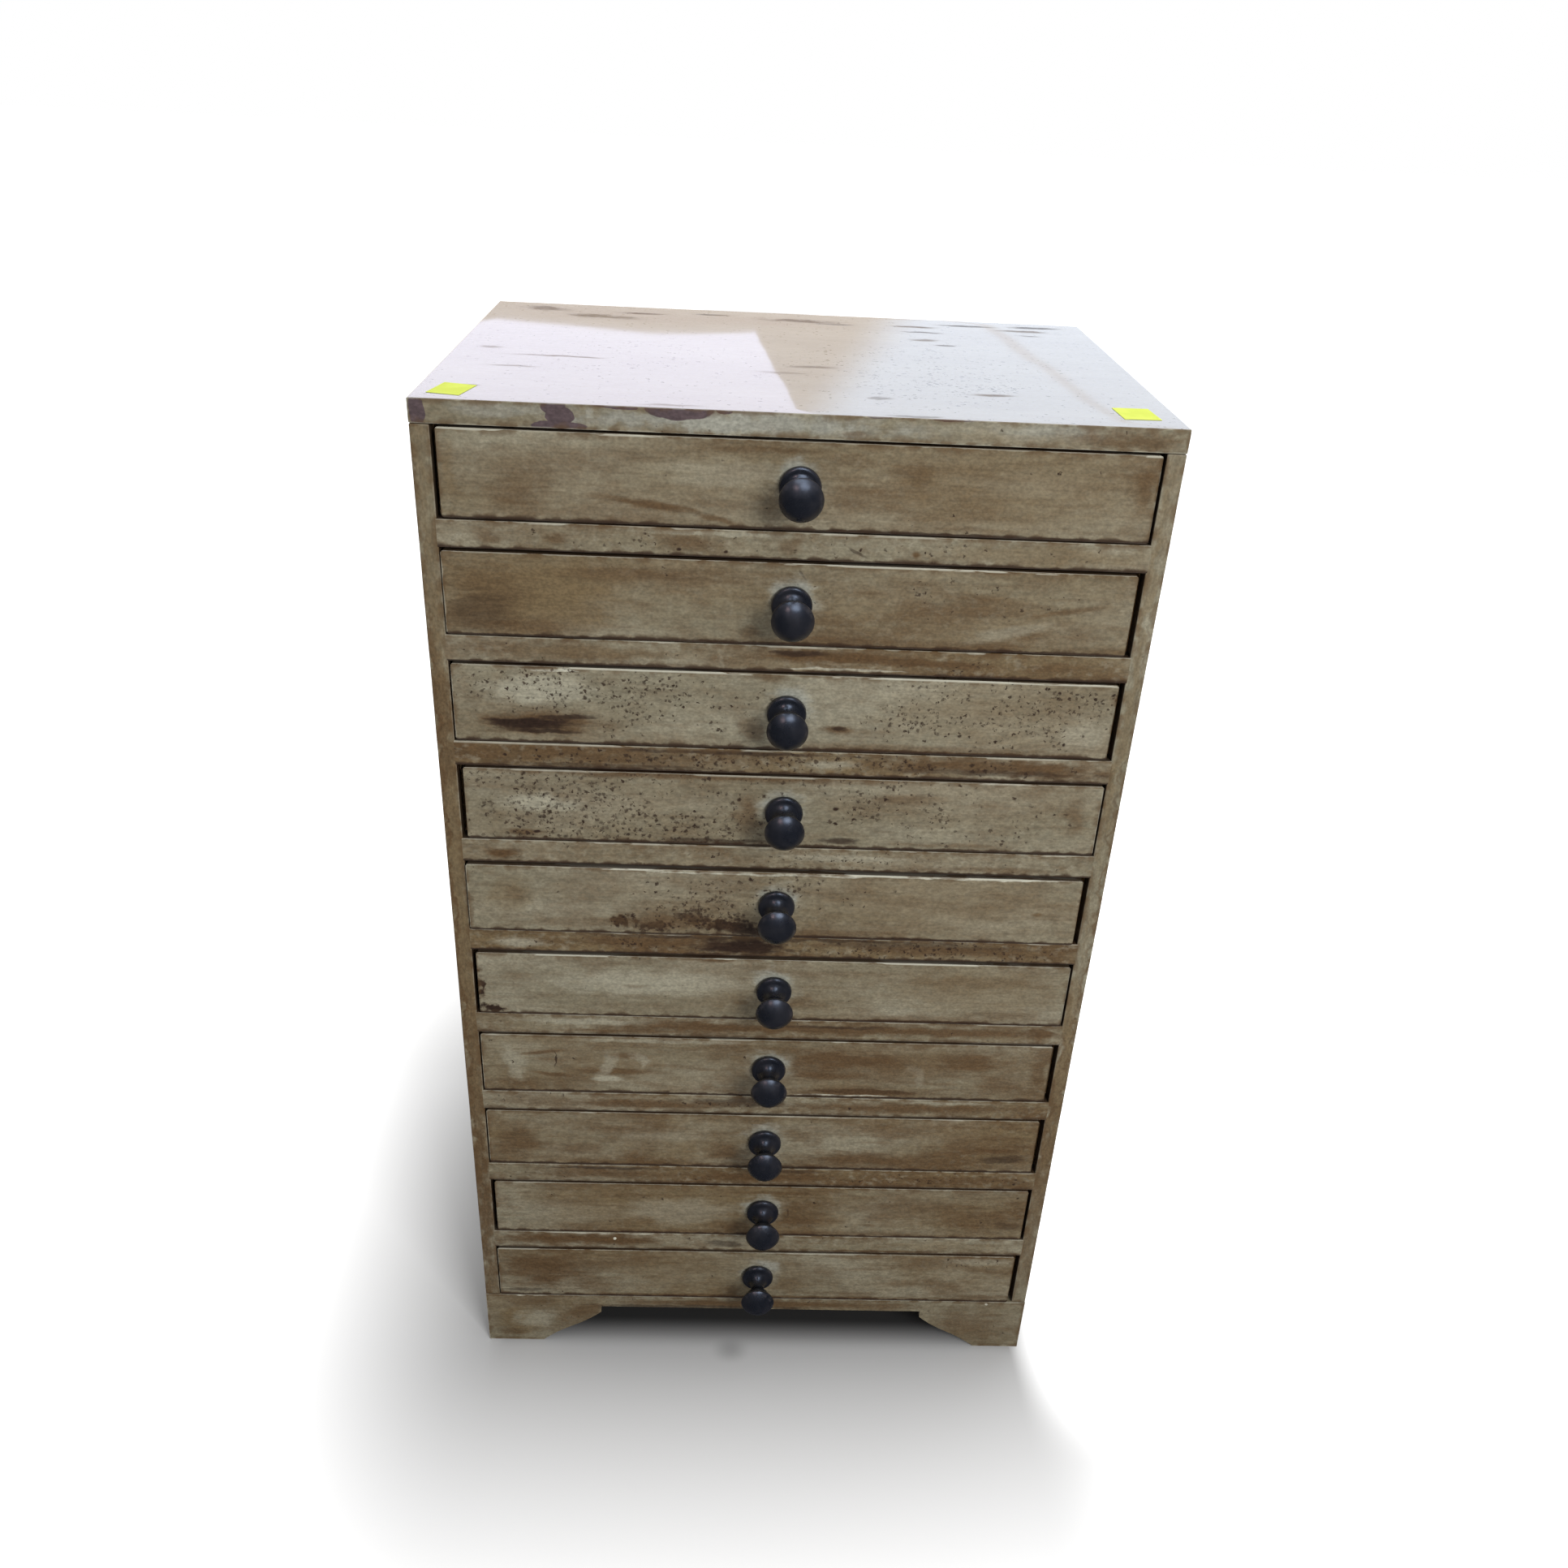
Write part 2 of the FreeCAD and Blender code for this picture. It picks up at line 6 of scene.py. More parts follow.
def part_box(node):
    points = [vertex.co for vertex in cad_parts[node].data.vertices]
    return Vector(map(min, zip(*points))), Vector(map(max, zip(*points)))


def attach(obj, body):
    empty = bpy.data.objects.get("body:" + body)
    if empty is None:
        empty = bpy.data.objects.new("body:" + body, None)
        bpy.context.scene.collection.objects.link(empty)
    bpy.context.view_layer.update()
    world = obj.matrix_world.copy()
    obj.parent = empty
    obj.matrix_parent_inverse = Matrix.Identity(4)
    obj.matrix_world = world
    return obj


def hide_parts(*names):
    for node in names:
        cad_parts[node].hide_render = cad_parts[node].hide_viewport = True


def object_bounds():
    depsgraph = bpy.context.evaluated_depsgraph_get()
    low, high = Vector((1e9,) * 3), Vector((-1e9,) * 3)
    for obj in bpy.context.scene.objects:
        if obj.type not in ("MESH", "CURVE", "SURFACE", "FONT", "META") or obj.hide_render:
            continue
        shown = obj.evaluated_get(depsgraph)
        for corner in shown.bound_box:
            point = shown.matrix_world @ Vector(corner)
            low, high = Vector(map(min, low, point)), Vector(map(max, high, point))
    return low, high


# A tall chest of ten shallow drawers in old khaki paint, glazed brown, with near-black turned knobs.
# Metres. The front faces -Y, +Z is up, and every place is worked out from the boxes of the frame's nodes.
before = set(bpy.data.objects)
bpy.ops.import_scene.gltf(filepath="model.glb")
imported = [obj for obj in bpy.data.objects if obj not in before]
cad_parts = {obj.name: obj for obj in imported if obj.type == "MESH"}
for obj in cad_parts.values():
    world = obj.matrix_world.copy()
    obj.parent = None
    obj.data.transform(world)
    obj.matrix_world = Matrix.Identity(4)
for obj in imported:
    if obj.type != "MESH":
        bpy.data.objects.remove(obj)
cad_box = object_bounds()

MM = 0.001
DRAWERS = 10


# Camera, from the perspective of the cabinet's own corners
CAMERA_PLACE = (-0.0449, -1.2190, 1.2975)
CAMERA_TURN = (61.059, -2.597, -1.047)
CAMERA_LENS = 30.907
SENSOR_WIDTH = 36


def add_camera():
    """Put the camera where the cabinet's front and top are seen from."""
    lens = bpy.data.cameras.new("camera")
    lens.sensor_fit = "HORIZONTAL"
    lens.sensor_width = SENSOR_WIDTH
    lens.lens = CAMERA_LENS
    camera = bpy.data.objects.new("camera", lens)
    camera.location = CAMERA_PLACE
    camera.rotation_euler = [math.radians(turn) for turn in CAMERA_TURN]
    bpy.context.scene.collection.objects.link(camera)
    bpy.context.scene.camera = camera


# Colours
def colour(red, green, blue):
    """A colour written as 0 to 255 in each channel, as the light values that shaders use."""
    shares = [level / 255 for level in (red, green, blue)]
    light = [share / 12.92 if share <= 0.04045 else ((share + 0.055) / 1.055) ** 2.4 for share in shares]
    return (*light, 1)


PAINT_PALE = colour(148, 144, 126)
PAINT = colour(119, 113, 94)
COOL_PAINT_AND_HIGHLIGHT = colour(150, 153, 146)
PAINT_WARM = colour(106, 90, 64)
BROWN_GLAZE_AND_SHADOW = colour(86, 65, 41)
# This dark glaze colour is also the painted shade along a board's foot and inside its joints.
DEEP_GLAZE_AND_SHADE = colour(48, 34, 25)
UNDERCOAT = colour(82, 69, 71)
CHALK_AND_HIGHLIGHT = colour(184, 182, 166)
PALE_WORN_AND_LIT = colour(178, 176, 178)
WOOD_PALE = colour(205, 176, 134)
WOOD_DARK = colour(168, 130, 86)
PLY_PALE = colour(178, 146, 103)
PLY_DARK = colour(140, 106, 68)
BLACK = colour(20, 23, 30)
BLACK_WORN = colour(50, 48, 52)
STEEL = colour(176, 172, 166)
NOTE = colour(204, 216, 84)
NOTE_LIGHT = colour(232, 244, 120)


# Laying out shader nodes
class Signal:
    """What a shader node puts out. A sum with it lays out the node that works the sum out."""

    def __init__(self, socket):
        self.socket = socket

    def __add__(self, other):
        return calc("ADD", self, other)

    def __sub__(self, other):
        return calc("SUBTRACT", self, other)

    def __rsub__(self, other):
        return calc("SUBTRACT", other, self)

    def __mul__(self, other):
        return calc("MULTIPLY", self, other)

    def scaled(self, factor, offset):
        """This times a factor, plus an offset."""
        return calc("MULTIPLY_ADD", self, factor, offset)


class Node:
    """A shader node whose outputs are signals."""

    def __init__(self, node):
        self.node = node

    def __getitem__(self, key):
        return Signal(self.node.outputs[key])


def first_signal(values):
    """The first of some values that is a signal."""
    return next(value for value in values if isinstance(value, Signal))


def tree_of(*values):
    """The node tree that some values belong to."""
    return first_signal(values).socket.id_data


def fill(socket, value):
    """Give a socket a value, or join it to a signal."""
    if isinstance(value, Signal):
        socket.id_data.links.new(value.socket, socket)
    else:
        socket.default_value = value


def add(tree, kind, inputs=(), **settings):
    """Add one node with its settings and inputs."""
    made = tree.nodes.new("ShaderNode" + kind)
    for name, value in settings.items():
        setattr(made, name, value)
    for key, value in dict(inputs).items():
        fill(made.inputs[key], value)
    return Node(made)


def calc(operation, *values):
    """Work out a number, or a vector if the first signal is one."""
    plain = first_signal(values).socket.type == "VALUE"
    made = add(tree_of(*values), "Math" if plain else "VectorMath", enumerate(values), operation=operation)
    return made["Value" if plain or operation == "LENGTH" else "Vector"]


def fade(value, start, end):
    """0 at start and 1 at end, with a soft step between."""
    inputs = {"Value": value, "From Min": start, "From Max": end}
    return add(tree_of(value), "MapRange", inputs, interpolation_type="SMOOTHSTEP")["Result"]


def layer(share, under, over, level=None, way="MIX"):
    """Lay one colour over another by a share, which a level can weaken."""
    if level is not None:
        share = share * level
    inputs = {0: share, 6: under, 7: over}
    return add(tree_of(share, under, over), "Mix", inputs, data_type="RGBA", blend_type=way)[2]


def noise(place, scale, detail, output="Fac", **more):
    """Soft noise at a place."""
    inputs = {"Vector": place, "Scale": scale, "Detail": detail, **more}
    return add(tree_of(place), "TexNoise", inputs)[output]


def parts(vector):
    """A vector's three coordinates."""
    return add(tree_of(vector), "SeparateXYZ", {0: vector})


def along(axis, squeeze):
    """A scale for a place that draws a pattern out along one axis."""
    return tuple(squeeze if letter == axis else 1 for letter in "XYZ")


def effect(name, **inputs):
    """Start a shared effect: what comes in, and where the mask that it makes goes out."""
    tree = bpy.data.node_groups.new(name, "ShaderNodeTree")
    for label, value in inputs.items():
        kind = "Vector" if isinstance(value, tuple) else "Float"
        socket = tree.interface.new_socket(label, in_out="INPUT", socket_type="NodeSocket" + kind)
        socket.default_value = value
    tree.interface.new_socket("Mask", in_out="OUTPUT", socket_type="NodeSocketFloat")
    return Node(tree.nodes.new("NodeGroupInput")), tree.nodes.new("NodeGroupOutput").inputs["Mask"]


def use(group, **inputs):
    """Place a shared effect in a material with its own values, and hand back its mask."""
    made = tree_of(*inputs.values()).nodes.new("ShaderNodeGroup")
    made.node_tree = group
    for key, value in inputs.items():
        fill(made.inputs[key], value)
    return Signal(made.outputs["Mask"])


ZERO = (0, 0, 0)
ONE = (1, 1, 1)


def make_streaks():
    """Soft noise that can be drawn out along a board."""
    given, mask = effect("streaks", Position=ZERO, Squeeze=ONE, Scale=20, Low=0.4, High=0.6)
    soft = noise(given["Position"] * given["Squeeze"], given["Scale"], 4)
    fill(mask, fade(soft, given["Low"], given["High"]))
    return mask.id_data


def make_specks():
    """Flecks of uneven size, in a share of the cells that they could fill."""
    given, mask = effect("specks", Position=ZERO, Cells=150, Size=0.3, Share=0.2)
    ripple = noise(given["Position"], 380, 2, "Color")
    shift = ripple.scaled((0.006,) * 3, given["Position"])
    cells = add(tree_of(shift), "TexVoronoi", {"Vector": shift, "Scale": given["Cells"]})
    chance = add(tree_of(shift), "SeparateColor", {"Color": cells["Color"]})
    size = chance["Green"].scaled(given["Size"], given["Size"] * 0.5)
    spot = fade(cells["Distance"], size, size * 0.4) * chance["Blue"].scaled(0.45, 0.6)
    fill(mask, spot * calc("LESS_THAN", chance["Red"], given["Share"]))
    return mask.id_data


def make_patch():
    """An oval place on a surface, turned and soft at its edge."""
    given, mask = effect("patch", Position=ZERO, Middle=ZERO, Half=ONE, Turn=ZERO, Softness=0.8)
    away = given["Position"] - given["Middle"]
    inputs = {"Vector": away, "Rotation": given["Turn"]}
    turned = add(tree_of(away), "VectorRotate", inputs, rotation_type="EULER_XYZ")["Vector"]
    reach = calc("LENGTH", calc("DIVIDE", turned, given["Half"]))
    soft = given["Softness"]
    fill(mask, fade(reach, soft.scaled(0.3, 1), 1 - soft))
    return mask.id_data


def make_rim():
    """How far a point on a squared board is from the nearest of its arrises."""
    given, distance = effect("rim", Position=ZERO, Lowest=ZERO, Highest=ONE)
    from_low = given["Position"] - given["Lowest"]
    from_high = given["Highest"] - given["Position"]
    nearest = parts(calc("MINIMUM", from_low, from_high))
    lesser = calc("MINIMUM", nearest["X"], nearest["Y"])
    greater = calc("MAXIMUM", nearest["X"], nearest["Y"])
    fill(distance, calc("MAXIMUM", lesser, calc("MINIMUM", greater, nearest["Z"])))
    return distance.id_data


STREAKS = make_streaks()
SPECKS = make_specks()
PATCH = make_patch()
RIM = make_rim()


def empty_tree(owner):
    """The emptied node tree of a material or a world."""
    owner.use_nodes = True
    owner.node_tree.nodes.clear()
    return owner.node_tree


def new_material(name):
    """A material with a Principled shader, and the object's own coordinates."""
    made = bpy.data.materials.new(name)
    tree = empty_tree(made)
    shader = add(tree, "BsdfPrincipled")
    add(tree, "OutputMaterial", {"Surface": shader["BSDF"]})
    return made, shader.node, add(tree, "TexCoord")["Object"]


def set_shader(shader, **values):
    """Fill the shader's inputs, named with underscores for spaces."""
    for name, value in values.items():
        fill(shader.inputs[name.replace("_", " ")], value)


def bump(height, distance, strength):
    """A fine relief on the surface."""
    inputs = {"Height": height, "Distance": distance, "Strength": strength}
    return add(tree_of(height), "Bump", inputs)["Normal"]


# Paint and the marks on it
MARK_KINDS = {
    "pale": {"tint": PAINT_PALE, "softness": 0.95, "broken": 0.45, "edge": 0.4},
    "warm": {"tint": PAINT_WARM, "softness": 0.95, "broken": 0.4, "edge": 0.4},
    "cool": {"tint": COOL_PAINT_AND_HIGHLIGHT, "softness": 0.95, "broken": 0.5, "edge": 0.4},
    "brown": {"tint": BROWN_GLAZE_AND_SHADOW, "softness": 0.95, "broken": 0.6, "edge": 0.48},
    "dark": {"tint": DEEP_GLAZE_AND_SHADE, "softness": 0.9, "broken": 0.8, "edge": 0.35},
    "chip": {"tint": UNDERCOAT, "softness": 0.08, "broken": 0.0, "edge": 0.5},
    "chalk": {"tint": CHALK_AND_HIGHLIGHT, "softness": 0.6, "broken": 0.6, "edge": 0.25},
}

# What a board's paint is unless it says otherwise. depth is how far its marks reach in from the face.
THROUGH = 2.0
PAINT_LOOK = {
    "grain": "X",
    "warmth": 0.55,
    "flecks": 0.01,
    "sponged": 0.2,
    "depth": THROUGH,
    "gap": None,
    "lip": 0.4,
    "foot_line": 0.9,
}

# Each noise in the paint: its scale, where it begins and is full, and how far the grain draws it out
PAINT_NOISE = {
    "clouds": (14, 0.36, 0.64, 0.6),
    "blotch": (40, 0.45, 0.70, 0.35),
    "drift": (9, 0.40, 0.62, 0.5),
    "drag": (60, 0.42, 0.66, 1.0),
    "brush": (150, 0.50, 0.72, 1.15),
    "hairs": (420, 0.40, 0.66, 1.4),
    "grit": (250, 0.34, 0.66, 0.3),
    "mottle": (520, 0.30, 0.70, 0.2),
    "sponge": (110, 0.44, 0.68, 0.15),
    "dabs": (170, 0.48, 0.72, 0.15),
    "clumps": (48, 0.40, 0.62, 0.2),
}
GRAIN_SQUEEZE = 0.16
SEED_STEP = (1.37, 0.71, 2.13)
CRUMBLE_SQUEEZE = 0.7
CRUMBLE_SCALE = 110
SPONGED_LEAST = 0.06

# How far the edge of a large mark wanders, and how much less that of a small one does
WANDER = (0.030, 0.030, 0.014)
TIGHTER = (0.25, 0.25, 0.35)
SMALL_MARK = 9 * MM

# Grime and wear along a board's ends and arrises, a pale top lip that is partly a painted highlight,
# painted shade along the foot, and painted shade with dirt inside the joints: how strong, and where they
# begin and are full
GRIME = 0.7
GRIME_REACH = (8 * MM, 1.0 * MM)
WORN = {"all": 0.4, None: 0.4, "inner": 0.2}
WORN_REACH = (-1.6 * MM, 2.0 * MM)
WORN_FULL = 0.4 * MM
LIP_START = 2.6 * MM
LIP_FULL = 1.2 * MM
FOOT_SHADE_START = 2.2 * MM
FOOT_SHADE_FULL = 1.2 * MM
JOINT_START = 0.7 * MM
JOINT_FULL = 2.0 * MM
JOINT_BESIDE = (2.2 * MM, 1.0 * MM)
JOINT_SHADE_AND_DIRT = 0.85
SMALL_FLECKS = {"Cells": 250, "Size": 0.34}
LARGE_FLECKS = {"Cells": 185, "Size": 0.37}


def painted_mark(kind, across, up, length, height, strength=1.0, tilt=0):
    """A mark on a board, in millimetres: its middle and its whole size.

    across is counted from the cabinet's middle line, and up from the board's foot, or from its front edge
    where it lies flat. tilt is in degrees, and lifts the right end.
    """
    return {
        "kind": kind,
        "across": across * MM,
        "up": up * MM,
        "half_length": length * MM / 2,
        "half_height": height * MM / 2,
        "tilt": math.radians(tilt),
        "strength": strength,
    }


def painted_marks(rows):
    """The marks in the rows for one board."""
    return [painted_mark(kind, *mark) for kind, *marks in rows for mark in marks]


def painted_mark_mask(position, board, mark, softness, lying, depth):
    """Where one mark is on its board, to a depth behind the face."""
    low, high = board
    if lying:
        middle = (mark["across"], low.y + mark["up"], (low.z + high.z) / 2)
        half = (mark["half_length"], mark["half_height"], THROUGH)
        turn = (0, 0, -mark["tilt"])
    else:
        middle = (mark["across"], low.y, low.z + mark["up"])
        half = (mark["half_length"], depth, mark["half_height"])
        turn = (0, mark["tilt"], 0)
    return use(PATCH, Position=position, Middle=middle, Half=half, Turn=turn, Softness=softness)


def paint_layers(place, board, seed, look, marks, lying=False):
    """The colour of old glazed paint over a whole board, and the masks that shape its relief."""
    squeeze = along(look["grain"], GRAIN_SQUEEZE)
    spot = place + tuple(seed * step for step in SEED_STEP)

    def streaks(scale, low, high, pull):
        drawn_out = tuple(each ** pull for each in squeeze)
        return use(STREAKS, Position=spot, Squeeze=drawn_out, Scale=scale, Low=low, High=high)

    soft = {name: streaks(*row) for name, row in PAINT_NOISE.items()}
    drawn = spot * tuple(each ** CRUMBLE_SQUEEZE for each in squeeze)
    crumble = noise(drawn, CRUMBLE_SCALE, 5, Roughness=0.68).scaled(2.6, -1.3)
    warmth = look["warmth"]
    sponged = SPONGED_LEAST + look["sponged"] * 0.4
    coats = (
        (soft["clouds"], 0.6, PAINT_PALE),
        (soft["drift"].scaled(0.7, 0.3), warmth, PAINT_WARM),
        (soft["blotch"], warmth * 0.5, BROWN_GLAZE_AND_SHADOW),
        (soft["drag"] * soft["drift"], warmth * 0.8, BROWN_GLAZE_AND_SHADOW),
        (soft["brush"], 0.15 + warmth * 0.3, BROWN_GLAZE_AND_SHADOW),
        (soft["grit"] * soft["blotch"], 0.2, BROWN_GLAZE_AND_SHADOW),
        (soft["sponge"], sponged, BROWN_GLAZE_AND_SHADOW),
        (soft["dabs"], sponged, PAINT_PALE),
    )
    tint = PAINT
    for mask, level, coat in coats:
        tint = layer(mask, tint, coat, level)

    wander = (noise(spot, 55, 3, "Color") - (0.5,) * 3) * WANDER
    ragged = place + wander
    tight = place + wander * TIGHTER

    def region_of(mark, position, softness):
        return painted_mark_mask(position, board, mark, softness, lying, look["depth"])

    share = look["flecks"]
    heavy = 0.0
    for mark in marks:
        if mark["kind"] in ("flecks", "crust"):
            region = region_of(mark, ragged, 0.9)
            share = region.scaled(mark["strength"] * 1.4, share)
            heavy = region.scaled(mark["strength"], heavy)
    stained = 0.0
    for mark in marks:
        if mark["kind"] == "flecks":
            continue
        if mark["kind"] == "crust":
            region = region_of(mark, ragged, 0.95)
            lumps = use(STREAKS, Position=spot, Scale=150, Low=0.35, High=0.65)
            tint = layer(region, tint, BROWN_GLAZE_AND_SHADOW, mark["strength"] * 0.6)
            mask = fade(lumps.scaled(0.7, region), 0.64, 1.2)
            tone = DEEP_GLAZE_AND_SHADE
        else:
            kind = MARK_KINDS[mark["kind"]]
            crisp = kind["softness"] < 0.7 or mark["half_height"] < SMALL_MARK
            region = region_of(mark, tight if crisp else ragged, kind["softness"])
            reach = crumble.scaled(kind["broken"], region)
            mask = fade(reach, 0.5 - kind["edge"], 0.5 + kind["edge"]) * fade(region, 0, 0.15)
            tone = kind["tint"]
        mask = mask * mark["strength"]
        tint = layer(mask, tint, tone)
        if tone in (BROWN_GLAZE_AND_SHADOW, DEEP_GLAZE_AND_SHADE, UNDERCOAT):
            stained = calc("MAXIMUM", mask, stained)

    clumped = soft["clumps"].scaled(1.3, 0.35)
    thin = spot * along("Z" if lying else "Y", 0.2)
    small = use(SPECKS, Position=thin, Share=calc("MULTIPLY", share, clumped), **SMALL_FLECKS)
    large = use(SPECKS, Position=thin, Share=calc("MULTIPLY", heavy, clumped), **LARGE_FLECKS)
    specks = calc("MAXIMUM", small, large)
    tint = layer(specks, tint, DEEP_GLAZE_AND_SHADE, 0.95)
    tint = layer(1, tint, soft["mottle"].scaled(0.30, 0.86), way="MULTIPLY")
    tint = layer(1, tint, soft["grit"].scaled(0.16, 0.92), way="MULTIPLY")
    tint = layer(soft["hairs"], tint, BROWN_GLAZE_AND_SHADOW, 0.12, "MULTIPLY")
    return tint, {**soft, "specks": specks, "stained": stained}, spot


def painted(name, node, seed, marks=(), **changes):
    """Old paint for one board, with its own marks. gap says which ends lie in a joint; behind the front
    face they are darkened, as painted shade over dirtier paint.
    """
    look = {**PAINT_LOOK, **changes}
    low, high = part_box(node)
    made, shader, place = new_material(name)
    tint, masks, spot = paint_layers(place, (low, high), seed, look, marks)
    rim = use(RIM, Position=place, Lowest=tuple(low), Highest=tuple(high))
    lumps = use(STREAKS, Position=spot, Scale=75, Low=0.35, High=0.7)
    tint = layer(fade(rim, lumps.scaled(*GRIME_REACH), 0), tint, BROWN_GLAZE_AND_SHADOW, GRIME)
    worn = fade(rim, lumps.scaled(*WORN_REACH), WORN_FULL)
    tint = layer(worn, tint, CHALK_AND_HIGHLIGHT, WORN[look["gap"]])
    spot = parts(place)
    if look["gap"] == "all":
        # A pale line along the top arris: partly wear, and partly a painted highlight where the arris faces
        # the light from above.
        lip = look["lip"]
        upper = fade(spot["Z"], high.z - LIP_START, high.z - LIP_FULL)
        tint = layer(upper * fade(masks["drag"], 0.9 - lip, 1.0 - lip), tint, CHALK_AND_HIGHLIGHT, lip + 0.2)
        # A dark line along the foot: painted shade under the board's lower arris.
        foot = fade(spot["Z"], lumps.scaled(3.6 * MM, low.z + FOOT_SHADE_START), low.z + FOOT_SHADE_FULL)
        tint = layer(foot, tint, DEEP_GLAZE_AND_SHADE, look["foot_line"])
    # Behind the front face, inside the joints: painted shade over dirtier paint.
    if look["gap"] is not None:
        gap_shade_and_dirt = fade(spot["Y"], low.y + JOINT_START, low.y + JOINT_FULL)
        if look["gap"] == "inner":
            inner = high.x if abs(high.x) < abs(low.x) else low.x
            gap_shade_and_dirt = gap_shade_and_dirt * fade(calc("ABSOLUTE", spot["X"] - inner), *JOINT_BESIDE)
        tint = layer(gap_shade_and_dirt, tint, DEEP_GLAZE_AND_SHADE, JOINT_SHADE_AND_DIRT)
    relief = masks["drag"] * 0.35 - masks["specks"] + masks["hairs"] * 0.3 + masks["mottle"] * 0.4
    rough = masks["mottle"].scaled(0.12, 0.50)
    normal = bump(relief, 0.25 * MM, 0.6)
    set_shader(shader, Base_Color=tint, Roughness=rough, Specular_IOR_Level=0.3, Normal=normal)
    return made


def varnished(name, node, seed, marks):
    """The lid's upper face: the same paint, paled towards grey, partly as worn paint and partly as painted
    light for the brightly lit top, under an old varnish.
    """
    look = {**PAINT_LOOK, "warmth": 0.3, "flecks": 0.16}
    made, shader, place = new_material(name)
    tint, masks, spot = paint_layers(place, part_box(node), seed, look, marks, lying=True)
    bare = calc("MAXIMUM", masks["stained"], masks["specks"]).scaled(-0.5, 0.5)
    swell = use(STREAKS, Position=spot, Scale=26, Low=0.3, High=0.7)
    relief = masks["drag"] * 0.5 - masks["specks"] + swell
    set_shader(
        shader,
        Base_Color=layer(bare, tint, PALE_WORN_AND_LIT),
        Roughness=masks["mottle"].scaled(0.15, 0.42),
        Specular_IOR_Level=0.3,
        Coat_Weight=masks["stained"].scaled(-0.85, 1.0),
        Coat_Roughness=0.035,
        Normal=bump(relief, 0.2 * MM, 0.4),
    )
    return made


FIGURE_SQUEEZE = 0.06
WOOD_SEED_STEP = (0.83, 1.91, 0.37)


def bare_wood(name, pale, dark, seed, grain="Y", turn_at=None, rings=24):
    """Plain wood with its figure along the grain. Past turn_at along Y the grain runs across instead."""
    made, shader, place = new_material(name)
    spot = place + tuple(seed * step for step in WOOD_SEED_STEP)
    drawn = spot * along(grain, FIGURE_SQUEEZE)
    if turn_at is not None:
        across = spot * along("X", FIGURE_SQUEEZE)
        beyond = calc("GREATER_THAN", parts(place)["Y"], turn_at)
        drawn = add(tree_of(place), "Mix", {0: beyond, 4: drawn, 5: across}, data_type="VECTOR")[1]
    bands = calc("SINE", noise(drawn, 12, 2) * (rings * math.tau / 4))
    figure = fade(bands, -0.9, 1.0)
    pores = fade(noise(drawn, 700, 3), 0.52, 0.7)
    tint = layer(figure, pale, dark, 0.55)
    tint = layer(pores, tint, dark, 0.35)
    tint = layer(fade(noise(spot, 9, 4), 0.45, 0.75), tint, BROWN_GLAZE_AND_SHADOW, 0.35)
    rough = pores.scaled(0.15, 0.62)
    normal = bump(figure * 0.3 - pores, 0.15 * MM, 0.5)
    set_shader(shader, Base_Color=tint, Roughness=rough, Specular_IOR_Level=0.3, Normal=normal)
    return made


def black_knob():
    """Satin black on turned wood, rubbed through to brown on the proud rings."""
    made, shader, place = new_material("black_knob")
    ring = add(tree_of(place), "Attribute", attribute_name="edge_wear")["Fac"]
    rub = noise(place, 160, 4)
    haze = noise(place, 55, 3)
    tint = layer(fade(haze, 0.4, 0.7), BLACK, BLACK_WORN, 0.3)
    tint = layer(ring * fade(rub, 0.45, 0.68), tint, BLACK_WORN, 0.8)
    rough = haze.scaled(0.18, 0.2)
    normal = bump(rub, 0.1 * MM, 0.35)
    set_shader(shader, Base_Color=tint, Roughness=rough, Specular_IOR_Level=0.6, Normal=normal)
    return made


def screw_steel():
    """Dull plated steel."""
    made, shader, place = new_material("screw_steel")
    tarnish = noise(place, 900, 3)
    tint = layer(fade(tarnish, 0.4, 0.7), STEEL, BROWN_GLAZE_AND_SHADOW)
    set_shader(shader, Base_Color=tint, Metallic=1.0, Roughness=tarnish.scaled(0.25, 0.25))
    return made


def paper_note():
    """Thin coloured note paper."""
    made, shader, place = new_material("paper_note")
    tint = layer(fade(noise(place, 60, 2), 0.4, 0.7), NOTE, NOTE_LIGHT, 0.3)
    normal = bump(noise(place, 900, 4), 0.05 * MM, 0.4)
    set_shader(shader, Base_Color=tint, Roughness=0.75, Normal=normal)
    return made


# Modelling
def just_made(name):
    """Name the piece that was made last."""
    piece = bpy.context.object
    piece.name = name
    piece.data.name = name
    return piece


def pick(*pieces):
    """Select some pieces, with the first as the active one."""
    bpy.ops.object.select_all(action="DESELECT")
    for piece in pieces:
        piece.select_set(True)
    bpy.context.view_layer.objects.active = pieces[0]


def block(name, low, high):
    """A squared block between two corners."""
    bpy.ops.object.select_all(action="DESELECT")
    bpy.ops.mesh.primitive_cube_add(size=1, location=(low + high) / 2)
    piece = just_made(name)
    piece.scale = high - low
    bpy.ops.object.transform_apply(location=True, rotation=True, scale=True)
    return piece


def open_with(piece, kind, wanted):
    """Open a piece for editing with only the wanted faces or edges selected."""
    pick(piece)
    bpy.ops.object.mode_set(mode="EDIT")
    bpy.ops.mesh.select_mode(type=kind)
    bpy.ops.mesh.select_all(action="DESELECT")
    bpy.ops.object.mode_set(mode="OBJECT")
    for each in piece.data.polygons if kind == "FACE" else piece.data.edges:
        each.select = wanted(each)
    bpy.ops.object.mode_set(mode="EDIT")


def close_edit():
    """Leave edit mode."""
    bpy.ops.object.mode_set(mode="OBJECT")


def runs_along(piece, axis):
    """A test for the edges of a piece that run along one axis."""
    points = piece.data.vertices

    def test(edge):
        start, end = (points[index].co for index in edge.vertices)
        return abs(start[axis] - end[axis]) > 0.9 * (start - end).length

    return test


MOST_CUTS = 90


